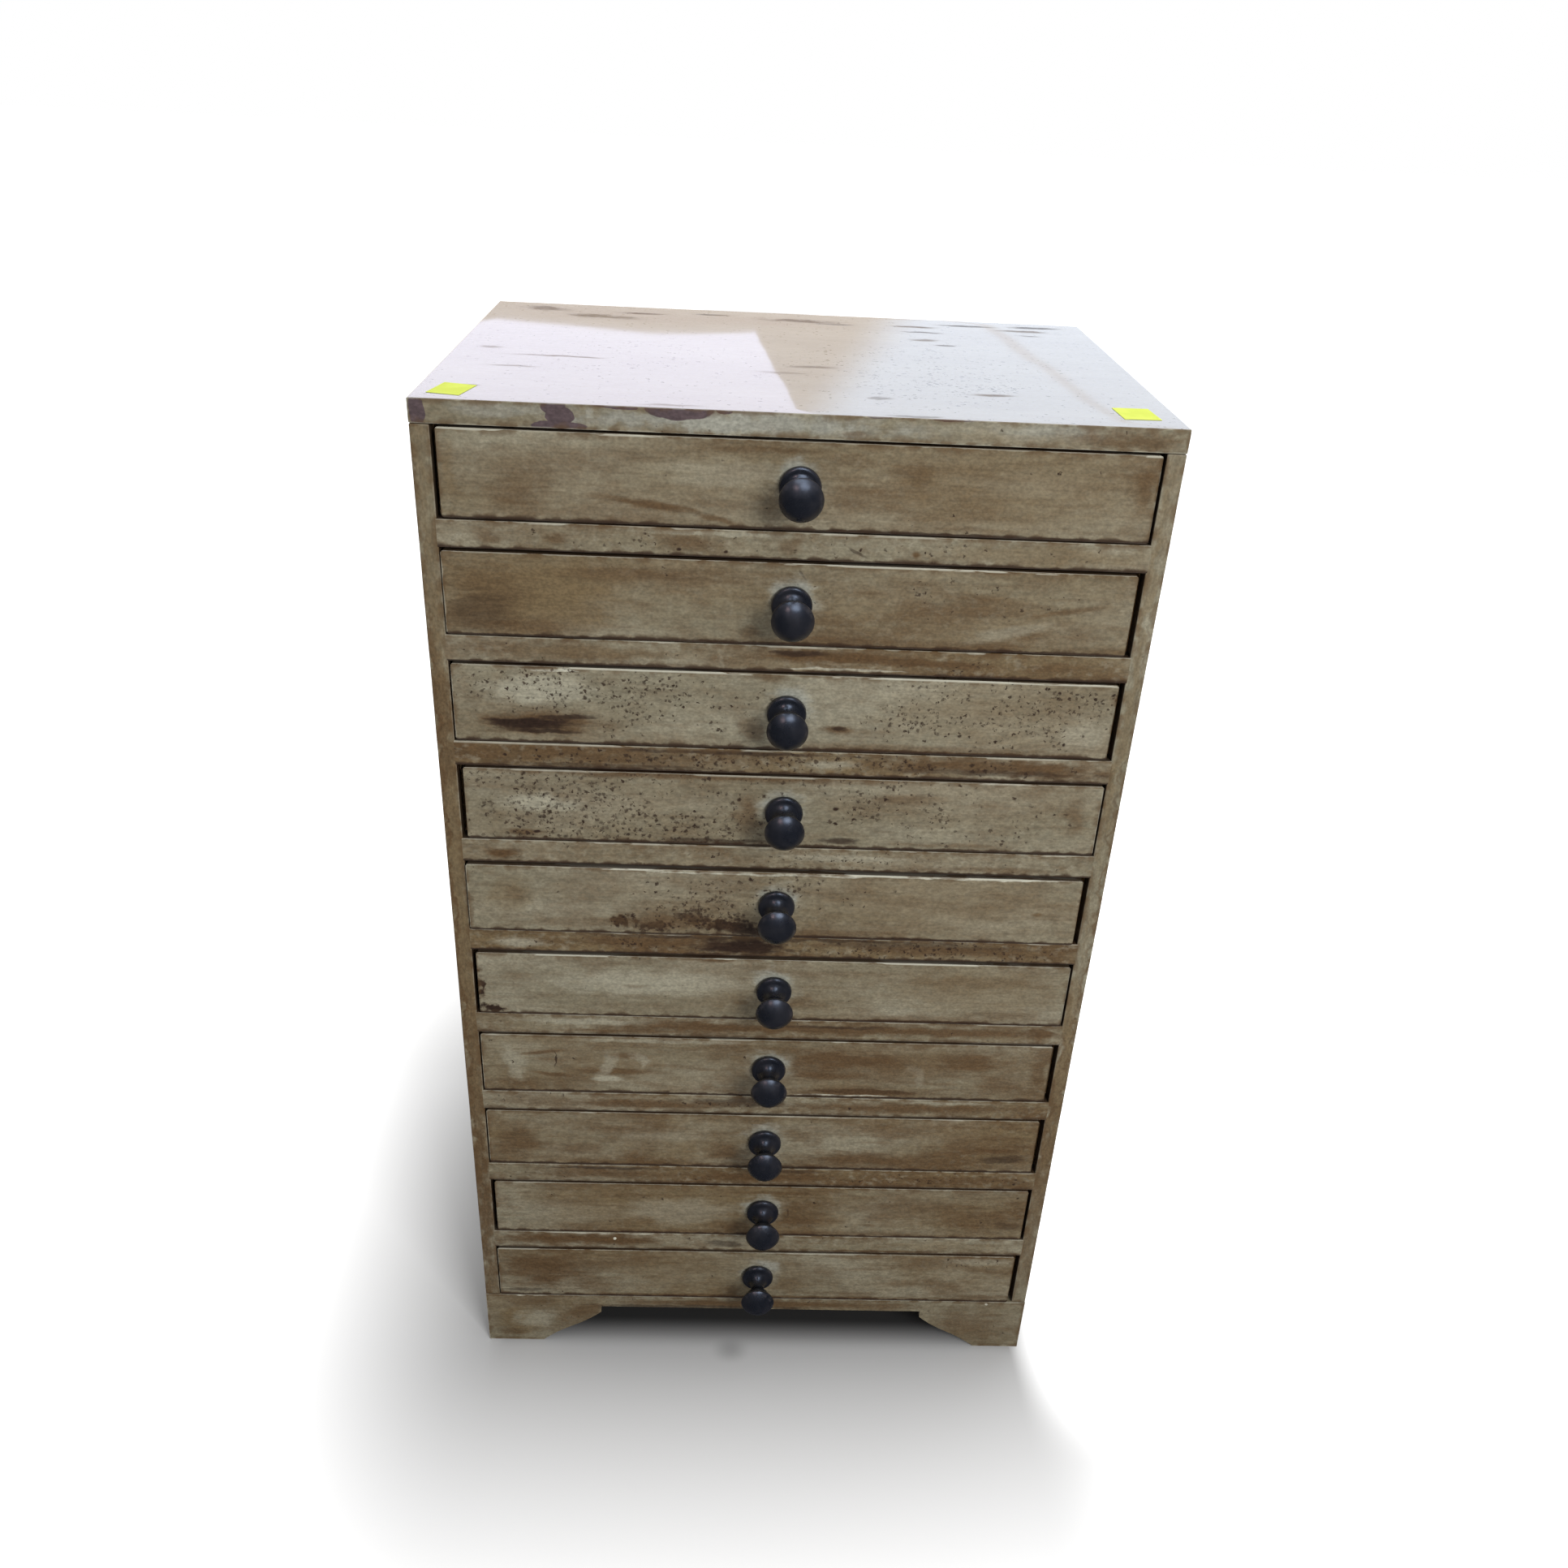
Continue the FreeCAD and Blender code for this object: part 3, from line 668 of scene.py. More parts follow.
def score(piece, axis, step):
    """Divide a block evenly along one axis, so that its faces can move."""
    length = piece.dimensions[axis]
    cuts = min(int(round(length / step)) - 1, MOST_CUTS)
    if cuts > 0:
        open_with(piece, "EDGE", runs_along(piece, axis))
        bpy.ops.mesh.subdivide(number_cuts=cuts)
        close_edit()


def modify(piece, kind, **settings):
    """Add a modifier and apply it."""
    made = piece.modifiers.new(kind.lower(), kind)
    for name, value in settings.items():
        setattr(made, name, value)
    bpy.context.view_layer.objects.active = piece
    bpy.ops.object.modifier_apply(modifier=made.name)


def wander(piece, depth, grain, level=1.0, **more):
    """Let the faces and arrises wander inwards a little, as on planed and knocked wood."""
    texture = bpy.data.textures.new(piece.name + "_wear", "CLOUDS")
    texture.noise_scale = grain
    texture.noise_depth = 2
    more.update(texture=texture, texture_coords="GLOBAL", strength=depth, mid_level=level)
    modify(piece, "DISPLACE", **more)


PAST = 5 * MM


def cut(piece, low, high):
    """Cut a square recess out of a piece."""
    cutter = block("cutter", low, high)
    modify(piece, "BOOLEAN", object=cutter, operation="DIFFERENCE", solver="EXACT")
    bpy.data.objects.remove(cutter)


SMOOTH_ANGLE = math.radians(32)


def finish_faces(piece, *materials, choose=None):
    """Shade a piece smooth between its sharp edges and give its faces their materials."""
    pick(piece)
    bpy.ops.object.shade_smooth_by_angle(angle=SMOOTH_ANGLE)
    modify(piece, "WEIGHTED_NORMAL", keep_sharp=True, weight=80)
    piece.data.materials.clear()
    for each in materials:
        piece.data.materials.append(each)
    if choose:
        for face in piece.data.polygons:
            face.material_index = choose(face)


def board(name, low, high, step=14 * MM, arris=1.3 * MM, wear=0.7 * MM, corner=0):
    """A board with rounded, slightly uneven arrises. corner rounds its corners as seen from the front."""
    piece = block(name, low, high)
    if corner:
        open_with(piece, "EDGE", runs_along(piece, 1))
        bpy.ops.mesh.bevel(offset=corner, segments=4)
        close_edit()
    for axis in range(3):
        score(piece, axis, step)
    angle = math.radians(50)
    modify(piece, "BEVEL", width=arris, segments=3, limit_method="ANGLE", angle_limit=angle)
    wander(piece, wear, 90 * MM)
    return piece


def settle(piece, body, slot, *nodes):
    """Say what a finished piece moves with and the nodes that it stands for. Its finish, slot, is not used.
    """
    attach(piece, body)
    if nodes:
        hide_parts(*nodes)


# Marks on the boards: stains, wear and chips, and also some painted shadows, each noted above its row. A
# later one covers an earlier one.
# A row is a kind and its marks: across, up, length and height, then strength and tilt if not 1 and 0.

# On the drawer fronts, from the top one down. Some brown marks by the knobs are painted shadows of the
# knobs.
DRAWER_MARKS = (
    (
        ("brown", (-222, 24, 70, 40, 0.5), (-118, 17, 96, 10, 0.9, -7), (-62, 7, 60, 8, 0.8, -16)),
        ("warm", (-272, 40, 20, 60, 0.5)),
        ("brown", (-30, 64, 130, 8, 0.5), (88, 50, 44, 28, 0.6), (270, 44, 24, 50, 0.7),
            (140, 6, 80, 8, 0.5)),
        ("dark", (130, 1, 330, 5, 0.8)),
        ("pale", (-60, 44, 120, 30, 0.4), (180, 44, 120, 30, 0.2)),
        ("warm", (160, 40, 260, 90, 0.35)),
    ),
    (
        ("warm", (-215, 38, 200, 90)),
        ("brown", (-245, 36, 90, 76, 0.5)),
        ("dark", (-255, 22, 70, 50, 0.35)),
        ("brown", (-215, 10, 90, 16, 0.6), (-130, 56, 160, 16, 0.5)),
        ("dark", (80, 1, 420, 5, 0.9)),
        # The second brown mark here is the painted shadow of the knob.
        ("brown", (80, 4, 380, 14, 0.5), (-34, 12, 20, 16, 0.5)),
        ("dark", (5, 62, 16, 3, 0.5, -50)),
        ("brown", (225, 38, 90, 7, 0.7, 11)),
        ("pale", (180, 18, 90, 16, 0.4, 12)),
        ("brown", (50, 6, 100, 7, 0.4)),
        ("flecks", (150, 45, 170, 40, 0.12)),
    ),
    (
        ("pale", (-210, 50, 120, 34, 0.9)),
        ("chalk", (-200, 68, 50, 3, 0.7)),
        ("brown", (-200, 20, 160, 34, 0.5), (-208, 19, 134, 24, 0.9)),
        ("dark", (-216, 18, 104, 12), (-225, 17, 60, 8, 0.8), (-185, 25, 80, 7, 0.8, 3),
            (-220, 16, 80, 14, 0.7), (-200, 11, 70, 5, 0.8)),
        # The first brown mark here is the painted shadow of the knob.
        ("brown", (-30, 18, 30, 26, 0.6), (-15, 68, 34, 14, 0.6), (45, 21, 36, 11, 0.9)),
        ("dark", (45, 22, 18, 6, 0.8)),
        ("pale", (110, 60, 90, 20, 0.4)),
        ("brown", (200, 45, 140, 30, 0.3)),
        ("warm", (170, 40, 260, 90, 0.4)),
        ("pale", (255, 22, 50, 34, 0.45)),
        ("dark", (110, 1, 340, 7)),
        ("brown", (120, 4, 320, 12, 0.6)),
        ("dark", (-220, 71, 90, 5, 0.6)),
        ("flecks", (-200, 50, 200, 50, 0.6), (-20, 30, 100, 60, 0.25), (-130, 40, 80, 76, 0.6),
            (-95, 58, 90, 30, 0.5), (-60, 30, 80, 40, 0.2), (115, 42, 110, 70, 0.6),
            (215, 40, 190, 80, 0.5)),
    ),
    (
        ("dark", (-60, 4, 120, 7, 0.7)),
        ("pale", (-215, 38, 90, 22, 0.8)),
        ("brown", (-230, 8, 50, 10, 0.8)),
        ("dark", (-218, 9, 10, 5)),
        # The first brown mark here is the painted shadow of the knob.
        ("brown", (-30, 34, 36, 50, 0.7), (-60, 70, 460, 12, 0.8)),
        ("dark", (-110, 73, 320, 6, 0.8), (50, 8, 46, 9, 0.8)),
        ("brown", (150, 6, 120, 6, 0.5)),
        ("dark", (46, 40, 6, 6)),
        ("brown", (110, 52, 80, 14, 0.5), (262, 40, 30, 50, 0.6)),
        ("flecks", (-195, 48, 200, 60), (-205, 38, 150, 36, 0.6), (-130, 20, 300, 44, 0.7),
            (-120, 5, 320, 16), (-60, 40, 140, 66, 0.4), (-60, 68, 360, 14, 0.8),
            (95, 44, 130, 50, 0.5), (160, 30, 240, 60, 0.25)),
    ),
    (
        ("warm", (-245, 40, 60, 50, 0.5)),
        ("brown", (-240, 42, 24, 24, 0.4)),
        ("crust", (-143, 14, 30, 18), (-115, 11, 60, 16, 0.9), (-75, 18, 44, 22, 0.8),
            (-45, 12, 66, 22)),
        ("dark", (-20, 6, 60, 14, 0.9)),
        ("chalk", (150, 70, 260, 3, 0.9), (-20, 69, 260, 3, 0.6)),
        ("brown", (240, 33, 14, 7, 0.8), (110, 44, 100, 14, 0.35)),
        ("warm", (160, 40, 280, 90, 0.3)),
        ("brown", (-180, 12, 120, 14, 0.4), (-100, 14, 170, 24, 0.5), (60, 5, 160, 14, 0.6)),
        ("dark", (100, 1, 360, 6)),
        ("flecks", (-80, 38, 130, 56, 0.8), (10, 52, 160, 44, 0.3)),
    ),
    (
        ("brown", (-60, 70, 50, 10, 0.9)),
        ("dark", (-68, 72, 10, 6)),
        ("pale", (-120, 40, 240, 40, 0.7)),
        ("crust", (-279, 30, 9, 44), (-268, 6, 34, 11)),
        # The second brown mark here is the painted shadow of the knob.
        ("brown", (-130, 36, 30, 6, 0.4), (-30, 20, 24, 8, 0.6), (190, 50, 180, 18, 0.6)),
        ("warm", (200, 40, 220, 90, 0.45)),
        ("brown", (215, 12, 100, 12, 0.5)),
        ("dark", (150, 1, 280, 7)),
        ("brown", (150, 5, 280, 12, 0.5)),
        ("chalk", (180, 72, 200, 3, 0.8)),
    ),
    (
        ("pale", (-252, 36, 26, 66, 0.5, 12)),
        ("brown", (-225, 50, 56, 6, 0.8, 8), (-215, 22, 60, 7, 0.8, -8)),
        ("dark", (-212, 42, 4, 22, 0.9)),
        ("brown", (-150, 28, 110, 12, 0.8), (-140, 48, 60, 10, 0.7)),
        ("pale", (-127, 42, 16, 30, 0.45, 30), (-160, 36, 18, 40, 0.45, -20), (-160, 18, 40, 10, 0.8),
            (-100, 67, 240, 8, 0.5)),
        ("brown", (30, 40, 140, 50, 0.5), (80, 48, 150, 24, 0.9), (200, 50, 90, 34, 0.9)),
        ("pale", (148, 30, 16, 44, 0.45, 30)),
        ("brown", (120, 40, 260, 60, 0.5), (60, 28, 80, 12, 0.8)),
        ("dark", (95, 8, 170, 9)),
        ("brown", (90, 7, 220, 16, 0.7)),
        ("chalk", (80, 3, 120, 2.5, 0.6)),
        ("brown", (270, 40, 20, 60, 0.7), (230, 20, 60, 30, 0.5)),
    ),
    (
        ("brown", (-255, 30, 60, 60, 0.7), (-190, 22, 60, 24, 0.6), (-150, 50, 60, 10, 0.5),
            # The first brown mark on the next line is the painted shadow of the knob.
            (-40, 22, 60, 30, 0.8), (110, 14, 240, 26, 0.9), (220, 40, 120, 40, 0.5),
            (0, 4, 560, 8, 0.5)),
        ("dark", (250, 18, 70, 14, 0.6)),
        ("brown", (240, 30, 60, 8)),
        ("pale", (60, 56, 120, 16, 0.15), (-100, 40, 120, 16, 0.2)),
    ),
    (
        ("pale", (-200, 30, 180, 44, 0.25)),
        ("warm", (-100, 36, 300, 90, 0.4)),
        ("brown", (-170, 40, 120, 4, 0.4), (-120, 56, 160, 4, 0.4)),
        ("pale", (-90, 34, 150, 50, 0.4)),
        # The first brown mark here is the painted shadow of the knob.
        ("brown", (-30, 12, 40, 24, 0.8), (150, 40, 200, 30, 0.5)),
        ("dark", (265, 20, 40, 18, 0.5), (28, 34, 3, 13, 0.8)),
        ("brown", (20, 62, 120, 6, 0.7), (30, 30, 120, 50, 0.45), (240, 26, 120, 44, 0.6),
            (40, 4, 480, 9, 0.5)),
    ),
    (
        ("brown", (-235, 40, 130, 80, 0.9), (-170, 20, 80, 30, 0.5)),
        ("dark", (-250, 8, 60, 8, 0.6)),
        # The second brown mark here is the painted shadow of the knob.
        ("brown", (30, 40, 120, 60, 0.35), (-28, 10, 24, 30, 0.7)),
        ("pale", (240, 62, 100, 16, 0.4)),
        ("warm", (-60, 36, 300, 90, 0.4)),
        ("brown", (0, 3, 560, 6, 0.8), (250, 8, 80, 10, 0.7)),
        ("flecks", (240, 62, 110, 18, 0.4)),
    ),
)

# Round each knob: a paler ring of cleaner paint, and over it a cool tint that is partly a painted
# highlight, standing for the light on the knob's rim.
KNOB_HALO_AND_HIGHLIGHT = (
    ("pale", (0, 39, 60, 52, 0.6)),
    ("cool", (0, 42, 44, 42, 0.6)),
)

# On the rails, from the top one down
RAIL_MARKS = (
    (
        ("brown", (-247, 12, 36, 20, 0.6), (-192, 11, 26, 14, 0.7), (-85, 12, 70, 22, 0.6)),
        ("dark", (-93, 6, 6, 4), (-56, 5, 5, 4)),
        ("brown", (-5, 12, 40, 20, 0.6)),
        ("dark", (48, 9, 27, 3.4, 0.6, -32)),
        ("brown", (97, 9, 11, 9)),
        ("pale", (-60, 20, 150, 6, 0.7), (150, 12, 130, 12, 0.2)),
        ("warm", (190, 12, 240, 24, 0.6)),
        ("flecks", (0, 12, 520, 24, 0.15)),
    ),
    (
        ("warm", (-170, 12, 180, 14, 0.6)),
        ("brown", (-190, 12, 220, 22, 0.5), (40, 15, 190, 17)),
        ("dark", (10, 18, 64, 8, 0.8)),
        ("brown", (120, 12, 150, 10, 0.9)),
        ("chalk", (40, 4, 130, 3, 0.4)),
        ("brown", (230, 12, 60, 14, 0.6)),
        ("flecks", (150, 8, 40, 16, 0.6)),
    ),
    (
        ("brown", (-150, 12, 200, 20, 0.8)),
        ("dark", (-40, 20, 300, 5, 0.7), (-160, 4, 240, 6, 0.5)),
        ("pale", (40, 12, 60, 12, 0.6)),
        ("brown", (170, 14, 240, 18, 0.9), (240, 12, 120, 22, 0.9)),
        ("dark", (180, 8, 220, 8, 0.5)),
        ("flecks", (20, 12, 520, 22, 0.3), (0, 12, 500, 22, 0.35)),
    ),
    (
        ("brown", (-248, 10, 46, 16), (200, 6, 160, 8, 0.5)),
        ("pale", (60, 14, 160, 10, 0.5)),
        ("brown", (-30, 10, 60, 12, 0.4)),
        ("flecks", (60, 12, 260, 22, 0.5)),
    ),
    (
        ("dark", (-34, 12, 130, 28)),
        ("brown", (-120, 14, 150, 18, 0.9)),
        ("dark", (130, 16, 260, 12, 0.5)),
        ("brown", (160, 12, 200, 14, 0.8)),
        ("pale", (-240, 10, 60, 16, 0.7)),
        ("brown", (260, 12, 40, 16, 0.7)),
        ("dark", (0, 21, 480, 6, 0.7)),
        ("flecks", (-130, 14, 120, 22, 0.5), (150, 10, 280, 24), (-240, 10, 70, 16, 0.3)),
    ),
    (
        ("brown", (30, 13, 340, 18, 0.9), (180, 13, 240, 16, 0.9)),
        ("dark", (60, 16, 130, 6, 0.6)),
        ("brown", (-80, 12, 190, 24, 0.9), (-140, 5, 200, 6, 0.7), (265, 12, 40, 20, 0.9)),
        ("pale", (-180, 16, 160, 10, 0.6)),
    ),
    (
        ("brown", (-225, 12, 150, 22, 0.5)),
        ("dark", (-30, 14, 140, 18, 0.6)),
        ("brown", (-120, 10, 220, 16, 0.9), (150, 12, 300, 18, 0.9)),
        ("pale", (180, 20, 120, 6, 0.5)),
        ("flecks", (-60, 12, 200, 16, 0.25)),
    ),
    (
        ("brown", (-160, 12, 180, 16, 0.8)),
        ("dark", (-150, 20, 200, 5, 0.7)),
        ("brown", (0, 12, 200, 20)),
        ("dark", (20, 20, 120, 5, 0.5)),
        ("brown", (200, 12, 160, 12, 0.6)),
        ("flecks", (180, 12, 240, 16, 0.45)),
    ),
    (
        ("brown", (-240, 12, 120, 24, 0.8), (-180, 14, 220, 22)),
        ("chalk", (-150, 23, 160, 3, 0.5), (-157, 15, 5, 5)),
        ("dark", (-40, 10, 60, 14, 0.6)),
        ("warm", (200, 12, 200, 20, 0.4)),
        ("brown", (120, 3, 200, 4, 0.8)),
    ),
)

# On the lid's front edge
EDGE_MARKS = (
    ("cool", (-60, 10, 420, 24, 0.5), (-240, 12, 80, 16, 0.3), (200, 12, 140, 20, 0.35)),
    ("brown", (40, 6, 30, 6, 0.6), (250, 10, 120, 18, 0.6)),
    ("warm", (180, 6, 180, 14, 0.4)),
    ("brown", (250, 9, 130, 20, 0.5)),
    ("chip", (-293, 10, 14, 26), (-189, 17, 20, 12), (-184, 10, 22, 14), (-186, 2, 44, 9),
        (-94, 18, 54, 15), (-136, 19, 20, 5), (-117, 18.5, 10, 6), (-60, 19, 14, 5), (60, 19.5, 26, 3),
        (118, 19.5, 40, 2.5), (-150, 19.5, 26, 3)),
)

# On the lid's upper face
TOP_MARKS = (
    ("brown", (-246, 396, 60, 26, 1.0, -10), (-190, 366, 90, 26, 1.0, -8)),
    ("warm", (-170, 370, 280, 90, 1.0, -8)),
    ("brown", (-150, 388, 60, 14)),
    ("dark", (-84, 398, 50, 12, 0.9)),
    ("warm", (-40, 376, 260, 70)),
    ("brown", (10, 386, 90, 20, 0.9)),
    ("dark", (42, 374, 70, 10, 0.7)),
    ("brown", (126, 380, 60, 14)),
    ("dark", (132, 352, 60, 9, 0.8), (175, 396, 80, 13, 0.9)),
    ("brown", (232, 380, 70, 16, 0.9)),
    ("dark", (250, 402, 70, 12, 0.9), (235, 356, 40, 8, 0.7)),
    ("brown", (126, 312, 36, 14, 0.8)),
    ("dark", (145, 290, 26, 9, 0.8)),
    ("brown", (158, 88, 50, 12, 0.9)),
    ("dark", (62, 62, 24, 20, 0.6, 30)),
    ("brown", (12, 168, 60, 16, 0.8), (-10, 140, 60, 10, 0.6), (-206, 170, 110, 7, 0.8),
        (-238, 124, 60, 8, 0.8), (-270, 196, 30, 12, 0.6), (-262, 48, 20, 8, 0.7),
        (-100, 10, 60, 9, 0.6)),
    ("dark", (90, 5, 60, 7, 0.6)),
    ("flecks", (110, 160, 220, 260, 0.35), (150, 120, 120, 60, 0.5), (-140, 190, 200, 180, 0.12)),
)

# On the front edges of the two sides
LEFT_MARKS = (
    ("warm", (-292, 520, 30, 1100, 0.9)),
    ("brown", (-297, 520, 6, 1000, 0.8), (-292, 700, 16, 220, 0.6), (-292, 300, 16, 500, 0.5),
        (-292, 130, 26, 330, 0.8)),
)
RIGHT_MARKS = (
    ("warm", (292, 300, 24, 520, 0.9), (290, 760, 14, 560, 0.6)),
    ("brown", (286, 300, 8, 300, 0.6), (292, 170, 26, 400, 0.5), (297, 520, 5, 900, 0.5)),
)

# On the front plinth board
FOOT_MARKS = (
    ("warm", (-262, 34, 70, 60, 0.9)),
    ("brown", (-275, 12, 40, 14, 0.6), (-190, 50, 60, 20, 0.6, 20)),
    ("pale", (-245, 36, 60, 36, 0.6, 10)),
    ("brown", (245, 34, 110, 60, 0.5), (0, 64, 420, 16, 0.9)),
    ("dark", (-60, 58, 300, 6, 0.6)),
    ("chalk", (-262, 72, 14, 2), (-240, 72, 20, 1.6), (256, 70, 5, 5, 0.9)),
)


# The pieces
# How warm and brown each front is. The lower fronts are darker and browner, partly as painted shade for the
# light falling off towards the floor.
FRONT_WARMTH = (0.6, 0.7, 0.35, 0.4, 0.5, 0.5, 0.95, 1.0, 0.9, 0.9)
FRONT_TRIM_LEFT = (1.2, 0, 0.2, 1.6, 0, 1.0, 0.2, 0, 0.9, 0.2)
FRONT_TRIM_RIGHT = (0.5, 1.5, 1.2, 0.2, 1.7, 0.3, 1.6, 1.5, 1.3, 1.5)
FRONT_LIP_HIGHLIGHTS = (0.5, 0.5, 0.6, 0.2, 0.8, 0.6, 0.3, 0.15, 0.15, 0.2)
RAIL_WARMTH = (0.5, 0.9, 1.0, 0.5, 1.0, 1.0, 1.1, 1.0, 0.8)

# How far a board's paint runs back from its face, and how near its back a front is bare
RAIL_PAINT = 12 * MM
SIDE_PAINT = 10 * MM
LID_PAINT = 16 * MM
BARE_BACK = 6 * MM

# How squarely a face has to look back, inwards or up (or down) to count as such
FACING_BACK = 0.5
FACING_IN = 0.7
FACING_UP = 0.75


def body_name(number):
    """The body and name stem of one drawer."""
    return f"drawer_{number:02d}"


def drawer_front(number, marks, inside):
    """One drawer front: painted face and edges, bare inside, grooved for the drawer's bottom."""
    stem = body_name(number)
    node = stem + "_front"
    low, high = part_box(node)
    board_low = low + Vector((FRONT_TRIM_LEFT[number - 1] * MM, 0, 0))
    board_high = high - Vector((FRONT_TRIM_RIGHT[number - 1] * MM, 0, 0))
    piece = board(stem + "_front_board", board_low, board_high, wear=1.0 * MM, corner=2.6 * MM)
    groove_low, groove_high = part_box(stem + "_bottom")
    cut(piece, groove_low, Vector((groove_high.x, high.y + PAST, groove_high.z)))
    warmth = FRONT_WARMTH[number - 1]
    lip = FRONT_LIP_HIGHLIGHTS[number - 1]
    paint = painted(node, node, number, marks, warmth=warmth, gap="all", lip=lip)

    def at_back(face):
        return 1 if face.center.y > high.y - BARE_BACK and face.normal.y > FACING_BACK else 0

    finish_faces(piece, paint, inside, choose=at_back)
    settle(piece, stem, "painted_wood", node)


SHOULDER = Vector((2 * MM, 0, 0))
TENON_FRONT = 10 * MM
TENON_BACK = 35 * MM
TENON_EDGE = 6 * MM
RAIL_SEED = 20
RAIL_LOOK = {"flecks": 0.03, "sponged": 0.6, "gap": "all"}
CRISP_RAIL = {"lip": 0.25, "foot_line": 0.9}
SOFT_RAIL = {"lip": 0.08, "foot_line": 0.5}
CRISP_RAILS = 5


def rail(number, marks, inside):
    """One rail between the sides: painted where it shows, bare behind."""
    node = f"rail_{number}"
    low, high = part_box(node)
    inner_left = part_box("left_side")[1].x
    inner_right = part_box("right_side")[0].x
    board_low = Vector((inner_left, low.y, low.z)) - SHOULDER
    board_high = Vector((inner_right, high.y, high.z)) + SHOULDER
    piece = board(node + "_board", board_low, board_high, arris=0.9 * MM)
    tenon_low = Vector((low.x, low.y + TENON_FRONT, low.z + TENON_EDGE))
    tenon_high = Vector((high.x, low.y + TENON_BACK, high.z - TENON_EDGE))
    tenon = block(node + "_tenon", tenon_low, tenon_high)
    modify(piece, "BOOLEAN", object=tenon, operation="UNION", solver="EXACT")
    bpy.data.objects.remove(tenon)
    look = {**RAIL_LOOK, **(CRISP_RAIL if number <= CRISP_RAILS else SOFT_RAIL)}
    paint = painted(node, node, RAIL_SEED + number, marks, warmth=RAIL_WARMTH[number - 1], **look)

    def behind(face):
        return 1 if face.center.y > low.y + RAIL_PAINT else 0

    finish_faces(piece, paint, inside, choose=behind)
    settle(piece, "carcass", "painted_wood", node)


def side_panel(hand, seed, warmth, marks, inside):
    """One side: painted outside and along its front edge, bare inside, rebated for the back."""
    node = "left_side" if hand < 0 else "right_side"
    low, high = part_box(node)
    piece = board(node + "_board", low, high)
    back_low, back_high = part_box("back_panel")
    cut(piece, back_low - Vector((0, 0, PAST)), back_high + Vector((0, PAST, 0)))
    paint = painted(node, node, seed, marks, grain="Z", warmth=warmth, depth=22 * MM, gap="inner")

    def inner(face):
        return 1 if face.normal.x * hand < -FACING_IN and face.center.y > low.y + SIDE_PAINT else 0

    finish_faces(piece, paint, inside, choose=inner)
    settle(piece, "carcass", "painted_wood", node)


NOTE_ROOM = 0.5 * MM
NOTE_SINK = 0.32 * MM


def top_board(inside):
    """The lid: varnished above, painted on its edges, bare below."""
    node = "top_board"
    low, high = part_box(node)
    piece = board(node + "_board", low, high - Vector((0, 0, NOTE_ROOM)), arris=1.4 * MM, wear=0.15 * MM)
    back_low, back_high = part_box("back_panel")
    cut(piece, Vector((back_low.x, back_low.y, low.z - PAST)), back_high + Vector((0, PAST, 0)))
    edge = painted("top_edge", node, 40, painted_marks(EDGE_MARKS), warmth=0.15, depth=9 * MM)
    lid = varnished("top_face", node, 41, painted_marks(TOP_MARKS))

    def facing(face):
        if face.normal.z > FACING_UP:
            return 0
        return 2 if face.normal.z < -FACING_UP and face.center.y > low.y + LID_PAINT else 1

    finish_faces(piece, lid, edge, inside, choose=facing)
    settle(piece, "carcass", "varnished_top", node)


def merged_copy(name, node, step):
    """A copy of a node's own form, merged to plain faces and scored for its wear."""
    piece = bpy.data.objects.new(name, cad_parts[node].data.copy())
    bpy.context.scene.collection.objects.link(piece)
    open_with(piece, "FACE", lambda face: True)
    bpy.ops.mesh.remove_doubles(threshold=0.01 * MM)
    bpy.ops.mesh.select_all(action="SELECT")
    bpy.ops.mesh.dissolve_limited(angle_limit=math.radians(1))
    low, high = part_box(node)
    for axis in range(3):
        length = high[axis] - low[axis]
        count = int(round(length / step))
        for index in range(1, count):
            point = Vector((0, 0, 0))
            point[axis] = low[axis] + length * index / count
            way = Vector((0, 0, 0))
            way[axis] = 1
            bpy.ops.mesh.select_all(action="SELECT")
            bpy.ops.mesh.bisect(plane_co=point, plane_no=way)
    close_edit()
    return piece


def plinth_board(node, seed, marks=()):
    """One plinth board with its bracket feet."""
    piece = merged_copy(node + "_board", node, 12 * MM)
    angle = math.radians(40)
    modify(piece, "BEVEL", width=1.2 * MM, segments=2, limit_method="ANGLE", angle_limit=angle)
    wander(piece, 0.6 * MM, 60 * MM)
    grain = "Y" if node in ("plinth_left", "plinth_right") else "X"
    paint = painted(node, node, seed, marks, grain=grain, warmth=0.7, flecks=0.02)
    finish_faces(piece, paint)
    settle(piece, "carcass", "painted_wood", node)


KNOB_CORNERS = [(17, 0), (17, 3.5), (12.5, 6.5), (7, 16), (8.5, 23), (16, 33), (17.5, 36.5), (0, 48)]
KNOB_BOWS = {1: 1.1, 2: -1.2, 3: -0.5, 4: 0.6, 5: 0.5, 6: 2.5}
ARC_STEPS = 6
SCREW_CORNERS = [(2.0, -16), (2.0, 0), (4.0, 0.01), (4.0, 1.0), (3.6, 1.9), (2.4, 2.4)]
PIN_CORNERS = [(1.2, -4), (1.2, 0), (2.6, 0.05), (2.4, 0.6), (1.4, 1.0)]
SLOT_HALF = Vector((4.5, 0, 0.5)) * MM
SLOT_FLOOR = 1.4 * MM
SLOT_TOP = 4 * MM
KNOB_SINK = 0.35 * MM
SCREW_SINK = 0.2 * MM

# Where a knob is rubbed: far out from its axis, on its foot's rim and on its head
RUBBED_REACH = 15 * MM
RIM_END = 5 * MM
HEAD_START = 30 * MM
HEAD_END = 40 * MM
RUBBED = 1.0
UNRUBBED = 0.1


